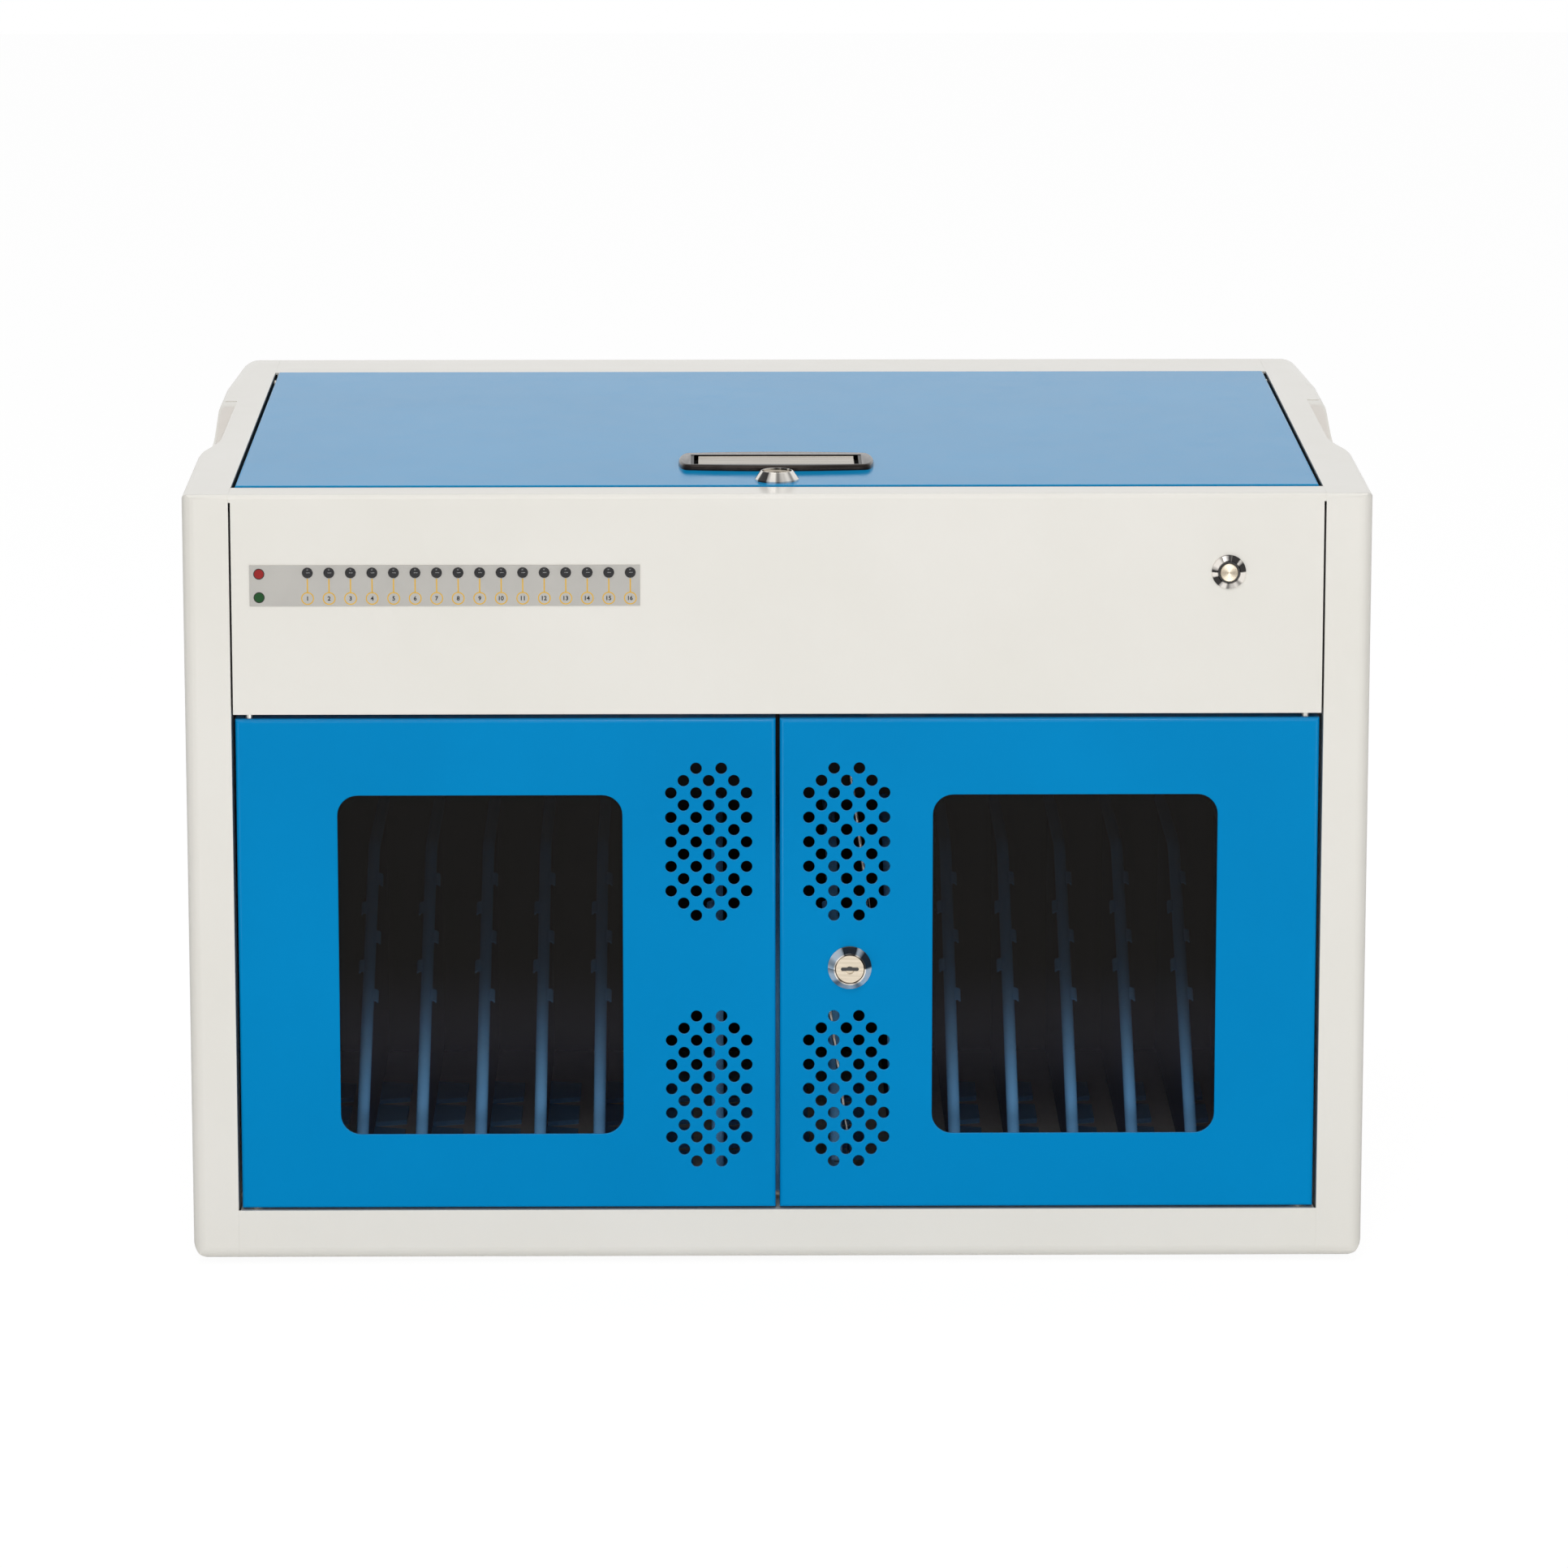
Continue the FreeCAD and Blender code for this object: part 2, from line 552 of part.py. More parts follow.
def lid_rails():
    """Angle rails under the lid's folded edge, fixed to the rim folds of the two sides."""
    low = TOP - s.lid_fold - s.rail_gap
    back = LID_PIVOT - s.lid_fold - s.lid_gap
    deep = (LID_FRONT, back)
    leg = box("rail_leg_left", (-OPENING, GAUGE - OPENING), deep, (low - s.rail_leg, low))
    ledge = box("rail_ledge_left", (-OPENING, s.rail_ledge - OPENING), deep, (low - GAUGE, low))
    left = fuse("left_rail", leg, ledge)
    piece("lid_rails", group("rails", left, mirror("right_rail", left)))


def shelf():
    inner = HALF - GAUGE
    deep = (FRONT + s.shelf_setback, BACK - GAUGE)
    plate = box("shelf_plate", (-inner, inner), deep, (APRON, SHELF_TOP))
    lip = box("shelf_lip", (-RACK_HALF, RACK_HALF), (deep[0], deep[0] + GAUGE),
              (APRON, SHELF_TOP + s.shelf_lip))
    folds = [box(f"shelf_fold_{index}", x, deep, (APRON - s.shelf_lip, APRON))
             for index, x in enumerate(((-inner, GAUGE - inner), (inner - GAUGE, inner)))]
    corners = []
    for index, sign in enumerate((-1, 1)):
        middle = sign * (inner - s.corner_radius / 2)
        edge = s.corner_radius / 2 + OVER
        corners.append(box(f"shelf_corner_{index}", (middle - edge, middle + edge),
                           (BACK - s.corner_radius, BACK + OVER),
                           (APRON - s.shelf_lip - OVER, SHELF_TOP + OVER)))
    slots = []
    for index, x in enumerate((-1.5, -0.5, 0.5, 1.5)):
        middle = x * (s.cable_slot_length + s.divider_pitch)
        half = s.cable_slot_length / 2
        start = BACK - s.cable_slot_setback
        slots.append(box(f"cable_slot_{index}", (middle - half, middle + half),
                         (start, start + s.cable_slot_width), (APRON - OVER, SHELF_TOP + OVER)))
    piece("compartment_shelf", cut("shelf", fuse("shelf_folded", plate, lip, *folds), *slots, *corners))


def rack():
    low = BOTTOM + GAUGE
    reach = HALF - s.corner_radius
    floor = box("rack_plate", (-RACK_HALF, RACK_HALF), (RACK_FRONT, RACK_BACK + s.rack_sheet),
                (RAIL, RACK_TOP))
    legs = [box(f"rack_leg_{index}", (-reach, reach), (y, y + s.rack_sheet), (low, RAIL))
            for index, y in enumerate((RACK_FRONT, RACK_BACK))]
    piece("rack_floor", fuse("rack_tray", floor, *legs))
    piece("rack_back", box("rack_upright", (-RACK_HALF, RACK_HALF), (RACK_BACK, RACK_BACK + s.rack_sheet),
                           (RACK_TOP, APRON - s.rack_back_gap)))


def prism_between(corners, direction):
    wire = Part.makePolygon([*corners, corners[0]])
    return Part.Face(wire).extrude(direction)


def divider_shape():
    """One moulded divider at X = 0: a web with a beaded rim, cable hooks up its slope and a floor clip."""
    vector = FreeCAD.Vector
    front = number_of(RACK_FRONT + s.divider_setback)
    back = number_of(RACK_BACK)
    low = number_of(RACK_TOP)
    top = low + number_of(s.divider_top_height)
    bead = number_of(s.divider_bead)
    web = number_of(s.divider_web)
    start = vector(0, front, low + number_of(s.divider_front_height))
    slope = vector(0, front + number_of(s.divider_slope_length), top) - start
    run = vector(slope).normalize()
    out = vector(0, -run.z, run.y)

    def outline(inset):
        """The rim line moved in by a distance: up the front, along the slope and back over the top."""
        on_slope = start - out * inset
        foot = on_slope + run * ((front + inset - on_slope.y) / run.y)
        head = on_slope + run * ((top - inset - on_slope.z) / run.z)
        return [vector(0, front + inset, low), foot, head, vector(0, back, top - inset)]

    def plate(corners, thickness):
        return prism_between([corner - vector(thickness / 2, 0, 0) for corner in corners],
                             vector(thickness, 0, 0))

    rim = outline(0)
    solids = [plate([*rim, vector(0, back, low)], web)]
    solids.append(plate([*rim, *reversed(outline(bead))], bead))

    wall = number_of(s.hook_wall)
    reach = bead / 2 + number_of(s.hook_reach)
    rise = number_of(s.hook_rise)
    for index in range(HOOK_COUNT):
        lateral = vector(1 if index % 2 == 0 else -1, 0, 0)
        seat = start + run * (number_of(s.hook_first) + index * number_of(s.hook_step)) - out * (bead / 2)
        section = [(0, -wall / 2), (reach, -wall / 2), (reach, rise), (reach - wall, rise),
                   (reach - wall, wall / 2), (0, wall / 2)]
        solids.append(prism_between([seat + lateral * a + out * b for a, b in section],
                                    run * number_of(s.hook_length)))

    length = number_of(s.clip_length)
    cut_back = number_of(s.clip_taper)
    spread = number_of(s.clip_reach)
    thick = number_of(s.clip_thickness)
    plan = [(0, 0), (spread, cut_back), (spread, length - cut_back), (0, length)]
    y = front + number_of(s.clip_first)
    solids.append(prism_between([vector(a, y + b, low) for a, b in plan], vector(0, 0, thick)))
    return solids[0].multiFuse(solids[1:]).removeSplitter()


def dividers():
    shape = divider_shape()
    for index in range(DIVIDER_COUNT):
        item = doc.addObject("Part::Feature", f"divider_{index + 1:02d}_moulding")
        item.Shape = shape
        bind(item, {"Placement.Base.x": s.divider_pitch * (index - (DIVIDER_COUNT - 1) / 2)})
        piece(f"divider_{index + 1:02d}", item)


def legend_and_lamps():
    left = s.strip_inset - HALF
    middle = TOP - s.strip_drop
    face = FRONT - s.strip_thickness
    piece("legend_strip", box("strip_film", (left, left + s.strip_length), (face, FRONT),
                              (middle - s.strip_height / 2, middle + s.strip_height / 2)))
    lamps = [prism(f"lamp_{index}", "Y", LAMP_SIDES, s.lamp_radius, (lamp_offset(index), LAMP_HEIGHT),
                   (face - s.lamp_proud, face))
             for index in range(PORT_COUNT)]
    piece("status_lamps", group("lamps", *lamps))

    board_face = INSIDE + s.board_standoff
    low = LAMP_HEIGHT - s.board_height / 2
    first = lamp_offset(0) - s.board_end
    last = lamp_offset(PORT_COUNT - 1) + s.board_end
    card = box("lamp_card", (first, last), (board_face, board_face + s.board_thickness),
               (low, low + s.board_height))
    posts = [prism(f"board_post_{index}", "Y", LAMP_SIDES, s.board_post_radius, (x, LAMP_HEIGHT),
                   (INSIDE, board_face))
             for index, x in enumerate((first + s.board_height / 3, last - s.board_height / 3))]
    piece("lamp_board", fuse("lamp_card_and_posts", card, *posts))


def power_switch():
    spot = SWITCH_SPOT
    face = FRONT - s.switch_proud
    bezel = prism("switch_bezel", "Y", BEZEL_SIDES, s.switch_bezel_radius, spot, (face, FRONT))
    barrel = prism("switch_barrel", "Y", BARREL_SIDES, s.switch_barrel_radius, spot,
                   (FRONT, FRONT + s.switch_barrel_length))
    bore = prism("switch_bore", "Y", BEZEL_SIDES, s.button_radius + s.pin_clearance, spot,
                 (face - OVER, face + s.button_length + s.button_travel))
    piece("switch_body", cut("switch", fuse("switch_case", bezel, barrel), bore))
    nut = prism("switch_nut_blank", "Y", 6, s.switch_nut_radius, spot,
                (INSIDE, INSIDE + s.switch_nut_thickness))
    thread = prism("switch_nut_thread", "Y", BARREL_SIDES, s.switch_barrel_radius + s.pin_clearance, spot,
                   (FRONT, BACK))
    piece("switch_nut", cut("switch_nut_ring", nut, thread))
    piece("power_button", prism("button_cap", "Y", BEZEL_SIDES, s.button_radius, spot,
                                (face - s.button_proud, face - s.button_proud + s.button_length)))


def charger_bay():
    start = FRONT + s.hub_setback
    half = s.hub_width / 2
    case = box("hub_case", (-half, half), (start, start + s.hub_depth), (SHELF_TOP, SHELF_TOP + s.hub_height))
    ports = []
    step = s.hub_width / (PORT_COUNT + 1)
    middle = SHELF_TOP + s.hub_height / 2
    for index in range(PORT_COUNT):
        x = step * (index + 1) - half
        ports.append(box(f"port_{index}", (x - s.port_width / 2, x + s.port_width / 2),
                         (start - OVER, start + s.port_depth),
                         (middle - s.port_height / 2, middle + s.port_height / 2)))
    piece("charging_hub", cut("hub", case, *ports))

    start = BACK - s.module_back_gap - s.module_depth
    x = (-(s.module_offset + s.module_width / 2), s.module_width / 2 - s.module_offset)
    case = box("module_case", x, (start, start + s.module_depth), (SHELF_TOP, SHELF_TOP + s.module_height))
    ears = box("module_ears", (x[0] - s.module_ear, x[1] + s.module_ear),
               (start + s.module_ear, start + s.module_depth - s.module_ear),
               (SHELF_TOP, SHELF_TOP + s.module_ear_thickness))
    piece("power_module", fuse("module", case, ears))


def pan(name, x, y, z, open_side, radius):
    """A folded tray of sheet: a rounded block less the block inside it, left open on one side."""
    block = box(f"{name}_outer_block", x, y, z)
    outer = round_edges(f"{name}_outer", block, face_rounding(x, y, z, open_side, radius))
    spans = {axis: (span[0] + GAUGE, span[1] - GAUGE) for axis, span in zip("xyz", (x, y, z))}
    low, high = spans[open_side[0]]
    spans[open_side[0]] = (low, high + GAUGE + OVER) if open_side[1] > 0 else (low - GAUGE - OVER, high)
    inner = box(f"{name}_inner", spans["x"], spans["y"], spans["z"])
    return cut(f"{name}_pan", outer, inner)


def face_rounding(x, y, z, open_side, radius):
    """Rounds the bends round the closed face and keeps the corner seams and the open rim sharp."""
    axis, sign = open_side
    face = number_of({"x": x, "y": y, "z": z}[axis][0 if sign > 0 else 1])

    def radius_of(middle, direction):
        on_face = abs(getattr(middle, axis) - face) < 0.01
        return number_of(radius) if on_face else 0

    return radius_of


def vent_punches(name, side):
    """Two staggered patches of holes; each row has as many holes as the pattern says."""
    tools = []
    for patch, centre in enumerate((DOOR_MIDDLE + s.vent_upper_rise, DOOR_MIDDLE - s.vent_lower_drop)):
        for row, count in enumerate(VENT_ROWS):
            z = centre + s.vent_row_step * (row - (len(VENT_ROWS) - 1) / 2)
            for hole in range(count):
                x = side * s.vent_offset + 2 * s.vent_column_step * (hole - (count - 1) / 2)
                tools.append(prism(f"{name}_vent_{patch}_{row}_{hole}", "Y", VENT_SIDES, s.vent_radius,
                                   (x, z), (FRONT - OVER, FRONT + OVER)))
    return tools


def window_limits(side, lap):
    x = side * s.window_offset
    z = DOOR_MIDDLE - s.window_drop
    wide = s.window_width / 2 + lap
    tall = s.window_height / 2 + lap
    return (x - wide, x + wide), (z - tall, z + tall)


def door(name, side, extra_tools):
    near, far = DOOR_INNER, DOOR_EDGE
    x = (near, far) if side > 0 else (-far, -near)
    tray = pan(name, x, (FRONT, FRONT + s.door_fold), (DOOR_LOW, DOOR_HIGH), ("y", 1), s.door_edge_radius)
    across, upright = window_limits(side, 0)
    tools = [rounded_bar(f"{name}_opening", "y", s.window_radius, across, (FRONT - OVER, FRONT + OVER),
                         upright)]
    tools += vent_punches(name, side)
    spot = (side * DOOR_PIVOT, DOOR_PIVOT_DEPTH)
    tools.append(rod(f"{name}_pin_hole", "Z", PIN_HOLE, spot, (DOOR_LOW - OVER, DOOR_HIGH + OVER)))
    piece(f"{name}_panel", cut(name, tray, *tools, *extra_tools))
    across, upright = window_limits(side, s.pane_lap)
    pane = box(f"{name}_pane", across, (INSIDE, INSIDE + s.pane_thickness), upright)
    piece(name.replace("door", "window"), pane)


def doors():
    lock_hole = prism("door_lock_hole", "Y", BARREL_SIDES, s.lock_barrel_radius + s.pin_clearance,
                      DOOR_LOCK_SPOT, (FRONT - OVER, FRONT + OVER))
    door("left_door", -1, [])
    door("right_door", 1, [lock_hole])
    catches = []
    depth = FRONT + s.door_fold + s.shoulder_gap
    for index, sign in enumerate((-1, 1)):
        x = sign * (DOOR_INNER + s.catch_offset + s.catch_length / 2)
        catches.append(box(f"catch_{index}", (x - s.catch_length / 2, x + s.catch_length / 2),
                           (depth, depth + s.catch_thickness), (APRON - s.catch_height, APRON)))
    piece("door_catches", group("catches", *catches))


def span_along(face, outward, near, far):
    """Limits along a lock's axis, from distances measured outward from the face that it sits in."""
    return (face + near, face + far) if outward > 0 else (face - far, face - near)


def lock(name, axis, spot, face, outward, barrel_length, plug_length):
    """Keyed lock: a coned bezel and barrel, a nut behind the panel and the plug that the key turns."""
    bezel = coned(f"{name}_bezel", axis, BEZEL_SIDES, (s.lock_bezel_radius, s.lock_face_radius), spot,
                  span_along(face, outward, Size("0", 0), s.lock_proud), outward, s.lock_skirt)
    barrel = prism(f"{name}_barrel", axis, BARREL_SIDES, s.lock_barrel_radius, spot,
                   span_along(face, outward, -barrel_length, Size("0", 0)))
    bore = rod(f"{name}_bore", axis, s.lock_plug_radius + s.pin_clearance, spot,
               span_along(face, outward, -(barrel_length + OVER), s.lock_proud + OVER))
    piece(f"{name}_body", cut(f"{name}_case", fuse(f"{name}_shell", bezel, barrel), bore))
    nut = prism(f"{name}_nut_blank", axis, 6, s.lock_nut_radius, spot,
                span_along(face, outward, -(GAUGE + s.lock_nut_thickness), -GAUGE))
    thread = prism(f"{name}_nut_thread", axis, BARREL_SIDES, s.lock_barrel_radius + s.pin_clearance, spot,
                   span_along(face, outward, -(barrel_length + OVER), OVER))
    piece(f"{name}_nut", cut(f"{name}_nut_ring", nut, thread))
    tip = s.lock_proud - s.lock_face_recess
    plug = prism(f"{name}_plug_bar", axis, BEZEL_SIDES, s.lock_plug_radius, spot,
                 span_along(face, outward, -plug_length, tip))
    half = s.keyway_length / 2
    thin = s.keyway_width / 2
    x = (spot[0] - half, spot[0] + half)
    other = (spot[1] - thin, spot[1] + thin)
    deep = span_along(face, outward, tip - s.keyway_depth, tip + OVER)
    keyway = box(f"{name}_keyway", x, deep, other) if axis == "Y" else box(f"{name}_keyway", x, other, deep)
    piece(f"{name}_plug", cut(f"{name}_plug_cut", plug, keyway))


def turned(item, degrees, axis, centre):
    item.Placement = FreeCAD.Placement(FreeCAD.Vector(), FreeCAD.Rotation(axis, degrees))
    bind(item, {"Placement.Base.x": centre[0], "Placement.Base.y": centre[1], "Placement.Base.z": centre[2]})
    return item


def door_lock():
    spot = DOOR_LOCK_SPOT
    cam_face = FRONT + s.door_barrel_length + s.rod_gap
    cam_back = cam_face + s.cam_plate
    lock("door_lock", "Y", spot, FRONT, -1, s.door_barrel_length, s.door_barrel_length + s.rod_gap)
    # The cam carries two pins; at rest they stand 45 degrees back from the locked place
    swing = s.cam_radius * math.sqrt(0.5)
    upper = (spot[0] + swing, spot[1] - swing)
    lower = (spot[0] - swing, spot[1] + swing)
    hub = prism("cam_hub", "Y", BARREL_SIDES, s.lock_plug_radius, spot, (cam_face, cam_back))
    wide = s.cam_radius + s.cam_edge
    half = s.cam_width / 2
    arm = box("cam_arm", (-wide, wide), (Size("0", 0), s.cam_plate), (-half, half))
    arm_turn = turned(group("cam_arm_turned", arm), 45, FreeCAD.Vector(0, 1, 0), (spot[0], cam_face, spot[1]))
    pins = [prism(f"cam_pin_{index}", "Y", BARREL_SIDES, s.cam_pin_radius, place,
                  (cam_back, cam_back + s.cam_pin_length))
            for index, place in enumerate((upper, lower))]
    piece("door_lock_cam", fuse("lock_cam", hub, arm_turn, *pins))
    rods_and_guides(spot, cam_back, upper, lower)


def rods_and_guides(spot, cam_back, upper, lower):
    """Flat lock rods hang on the cam pins by slotted eyes and slide in guides by the door's folds."""
    travel = 2 * s.cam_radius * math.sqrt(0.5)
    deep = (cam_back + s.rod_gap / 2, cam_back + s.rod_gap / 2 + s.rod_thickness)
    sway = s.cam_radius * (1 - math.sqrt(0.5))
    guides = []
    for name, pin, sign in (("upper", upper, 1), ("lower", lower, -1)):
        edge = DOOR_HIGH if sign > 0 else DOOR_LOW
        tip = (spot[0] + sign * s.rod_end_offset, edge - sign * s.rod_end_gap)
        across = number_of(tip[0] - pin[0])
        rise = number_of(tip[1] - pin[1])
        lean = math.degrees(math.atan2(across, rise))
        length = math.hypot(across, rise)
        half = s.rod_width / 2
        eye_half = s.cam_pin_radius + s.rod_slack + s.rod_thickness
        eye_reach = sway + s.cam_pin_radius + s.rod_slack
        eye = box(f"{name}_eye", (pin[0] - eye_reach - s.rod_thickness, pin[0] + eye_reach + s.rod_thickness),
                  deep, (pin[1] - eye_half, pin[1] + eye_half))
        slot_half = s.cam_pin_radius + s.rod_slack
        slot = box(f"{name}_eye_slot", (pin[0] - eye_reach, pin[0] + eye_reach),
                   (deep[0] - OVER, deep[1] + OVER), (pin[1] - slot_half, pin[1] + slot_half))
        bar = box(f"{name}_bar", (-half, half), (Size("0", 0), s.rod_thickness),
                  (s.cam_pin_radius, Size(f"{length}", length)))
        bar_turn = turned(group(f"{name}_bar_turned", bar), lean, FreeCAD.Vector(0, 1, 0),
                          (pin[0], deep[0], pin[1]))
        piece(f"{name}_lock_rod", cut(f"{name}_rod", fuse(f"{name}_rod_blank", eye, bar_turn), slot))
        middle = edge - sign * (s.rod_end_gap + s.guide_distance)
        share = 1 - (number_of(s.guide_distance)) / rise * sign
        centre = pin[0] + across * share
        room = half + s.guide_slack + number_of(travel) * abs(across / rise)
        near = deep[0] - s.rod_gap / 2
        far = deep[1] + s.rod_gap / 2
        block = box(f"{name}_guide_block", (centre - room - s.guide_wall, centre + room + s.guide_wall),
                    (INSIDE, far + s.guide_wall), (middle - s.guide_height / 2, middle + s.guide_height / 2))
        way = box(f"{name}_guide_way", (centre - room, centre + room), (near, far),
                  (middle - s.guide_height, middle + s.guide_height))
        guides.append(cut(f"{name}_guide", block, way))
    piece("lock_rod_guides", group("guides", *guides))


def lid():
    x = (-DOOR_EDGE, DOOR_EDGE)
    tray = pan("lid", x, (LID_FRONT, LID_BACK), (TOP - s.lid_fold, LID_TOP), ("z", -1), s.lid_edge_radius)
    middle = LID_FRONT + s.handle_setback
    wide = s.handle_width / 2 - s.handle_end + s.handle_wall
    deep = s.handle_depth / 2 - s.handle_side + s.handle_wall
    seat = box("handle_seat", (-wide, wide), (middle - deep, middle + deep), (TOP - OVER, TOP + OVER))
    lock_spot = (Size("0", 0), LID_FRONT + s.lid_lock_setback)
    lock_hole = prism("lid_lock_hole", "Z", BARREL_SIDES, s.lock_barrel_radius + s.pin_clearance, lock_spot,
                      (TOP - OVER, TOP + OVER))
    pins = rod("lid_pin_holes", "X", PIN_HOLE, (LID_PIVOT, LID_PIVOT_HEIGHT),
               (-(DOOR_EDGE + OVER), DOOR_EDGE + OVER))
    piece("lid_panel", cut("lid_sheet", tray, seat, lock_hole, pins))
    lid_handle(middle)
    cam_high = RIM_LOW - s.lid_cam_gap
    lock("lid_lock", "Z", lock_spot, LID_TOP, 1, s.lid_barrel_length, LID_TOP - cam_high)
    half = s.lid_cam_width / 2
    piece("lid_lock_cam", box("lid_cam_arm", (-half, s.lid_cam_reach - half),
                              (lock_spot[1] - half, lock_spot[1] + half), (cam_high - s.cam_plate, cam_high)))


def lid_handle(middle):
    """A cast bezel with bowed sides and a cup, and the flap that fingers push down into the cup."""
    half = s.handle_width / 2
    deep = s.handle_depth / 2
    face = LID_TOP + s.handle_proud
    bow = half * half / (2 * s.handle_bulge) + s.handle_bulge / 2
    bar = rounded_bar("handle_bar", "z", s.handle_radius, (-half, half), (middle - deep, middle + deep),
                      (LID_TOP, face))
    bows = [rod(f"handle_bow_{index}", "Z", bow, (Size("0", 0), middle + sign * (bow - deep)),
                (LID_TOP, face))
            for index, sign in enumerate((-1, 1))]
    plate = common("handle_plate", bar, common("handle_lens", *bows))
    mouth = half - s.handle_end
    gap = deep - s.handle_side
    wall = s.handle_wall
    floor = LID_TOP - s.cup_depth
    cup = box("handle_cup", (-(mouth + wall), mouth + wall), (middle - gap - wall, middle + gap + wall),
              (floor, LID_TOP))
    hollow = box("handle_hollow", (-mouth, mouth), (middle - gap, middle + gap), (floor + wall, face + OVER))
    pivot = (middle + gap - s.flap_pivot_inset, face - s.flap_drop - s.flap_thickness / 2)
    bore = rod("flap_bore", "X", s.flap_pivot_radius + s.pin_clearance, pivot,
               (-(mouth + wall), mouth + wall))
    piece("handle_bezel", cut("handle_casting", fuse("handle_blank", plate, cup), hollow, bore))
    leaf_half = mouth - s.flap_gap
    leaf = box("flap_leaf", (-leaf_half, leaf_half), (middle - gap + s.flap_gap, middle + gap - s.flap_gap),
               (pivot[1] - s.flap_thickness / 2, pivot[1] + s.flap_thickness / 2))
    reach = mouth + s.flap_pivot_reach
    stem = prism("flap_stem", "X", BARREL_SIDES, s.flap_pivot_radius, pivot, (-reach, reach))
    piece("handle_flap", fuse("flap", leaf, stem))


shell, room = body_panels()
side_panels_and_grips(shell, room)
front_fascia(shell)
base_pan(shell)
rear_panel(shell)
rear_fittings()
feet()
hinge_pins()
lid_rails()
shelf()
rack()
dividers()
legend_and_lamps()
power_switch()
charger_bay()
doors()
door_lock()
lid()

doc.recompute()
for item in doc.Objects:
    if {"Invalid", "Error"} & set(item.State):
        raise RuntimeError(f"{item.Name} failed: {item.State}")
for node, item in pieces.items():
    if item.Shape.isNull() or not item.Shape.isValid() or not item.Shape.Solids:
        raise RuntimeError(f"{node} has no sound solid")
os.makedirs("parts", exist_ok=True)
for node, item in pieces.items():
    item.Shape.exportStep(f"parts/{node}.step")
print(len(pieces), "nodes written")
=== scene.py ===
import bmesh
import bpy
import json
import math
from mathutils import Matrix, Vector

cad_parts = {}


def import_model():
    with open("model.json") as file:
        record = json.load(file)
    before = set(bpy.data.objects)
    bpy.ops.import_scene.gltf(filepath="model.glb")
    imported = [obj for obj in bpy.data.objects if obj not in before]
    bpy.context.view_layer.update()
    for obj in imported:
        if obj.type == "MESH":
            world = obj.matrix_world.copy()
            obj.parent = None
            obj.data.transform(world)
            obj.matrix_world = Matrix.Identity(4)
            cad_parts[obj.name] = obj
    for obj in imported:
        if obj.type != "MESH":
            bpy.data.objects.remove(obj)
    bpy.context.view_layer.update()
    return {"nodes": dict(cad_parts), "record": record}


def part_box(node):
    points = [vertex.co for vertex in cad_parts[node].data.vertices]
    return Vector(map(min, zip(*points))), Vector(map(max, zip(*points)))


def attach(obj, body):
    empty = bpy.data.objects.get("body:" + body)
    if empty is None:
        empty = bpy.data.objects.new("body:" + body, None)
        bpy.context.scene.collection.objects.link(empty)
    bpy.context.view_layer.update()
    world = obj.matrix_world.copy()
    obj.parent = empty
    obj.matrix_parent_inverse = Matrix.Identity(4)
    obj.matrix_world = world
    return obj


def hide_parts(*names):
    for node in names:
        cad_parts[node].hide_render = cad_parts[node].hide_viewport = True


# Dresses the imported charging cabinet: painted sheet, smoked windows, lamps, locks, handle and studio
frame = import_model()
MM = 0.001


# Shader tools

class Value:
    """A socket of a node tree; arithmetic on it adds Math nodes."""

    def __init__(self, nodes, socket):
        self.nodes = nodes
        self.socket = socket

    def math(self, operation, first, second=0.0):
        return self.nodes.node("ShaderNodeMath", {"operation": operation}, {0: first, 1: second})

    def __add__(self, other):
        return self.math("ADD", self, other)

    __radd__ = __add__

    def __sub__(self, other):
        return self.math("SUBTRACT", self, other)

    def __rsub__(self, other):
        return self.math("SUBTRACT", other, self)

    def __mul__(self, other):
        return self.math("MULTIPLY", self, other)

    __rmul__ = __mul__

    def __truediv__(self, other):
        return self.math("DIVIDE", self, other)

    def __rtruediv__(self, other):
        return self.math("DIVIDE", other, self)

    def __pow__(self, other):
        return self.math("POWER", self, other)

    def larger(self, other):
        return self.math("MAXIMUM", self, other)

    def output(self, name):
        """Another output of the same node."""
        return Value(self.nodes, self.socket.node.outputs[name])


class Nodes:
    """A node tree that is filled from code."""

    def __init__(self, tree):
        self.tree = tree

    def node(self, kind, settings, sockets, output=0):
        """Adds a node, applies its settings, then fills its sockets with values or links."""
        made = self.tree.nodes.new(kind)
        for setting, choice in settings.items():
            setattr(made, setting, choice)
        for socket, source in sockets.items():
            self.fill(made.inputs[socket], source)
        return Value(self, made.outputs[output])

    def fill(self, socket, source):
        if isinstance(source, Value):
            self.tree.links.new(source.socket, socket)
        else:
            socket.default_value = source

    def seen_directly(self):
        """1 for rays from the camera, and for those that gloss and glass send on."""
        path = self.node("ShaderNodeLightPath", {}, {}, "Is Camera Ray")
        return path.larger(path.output("Is Glossy Ray")).larger(path.output("Is Transmission Ray"))


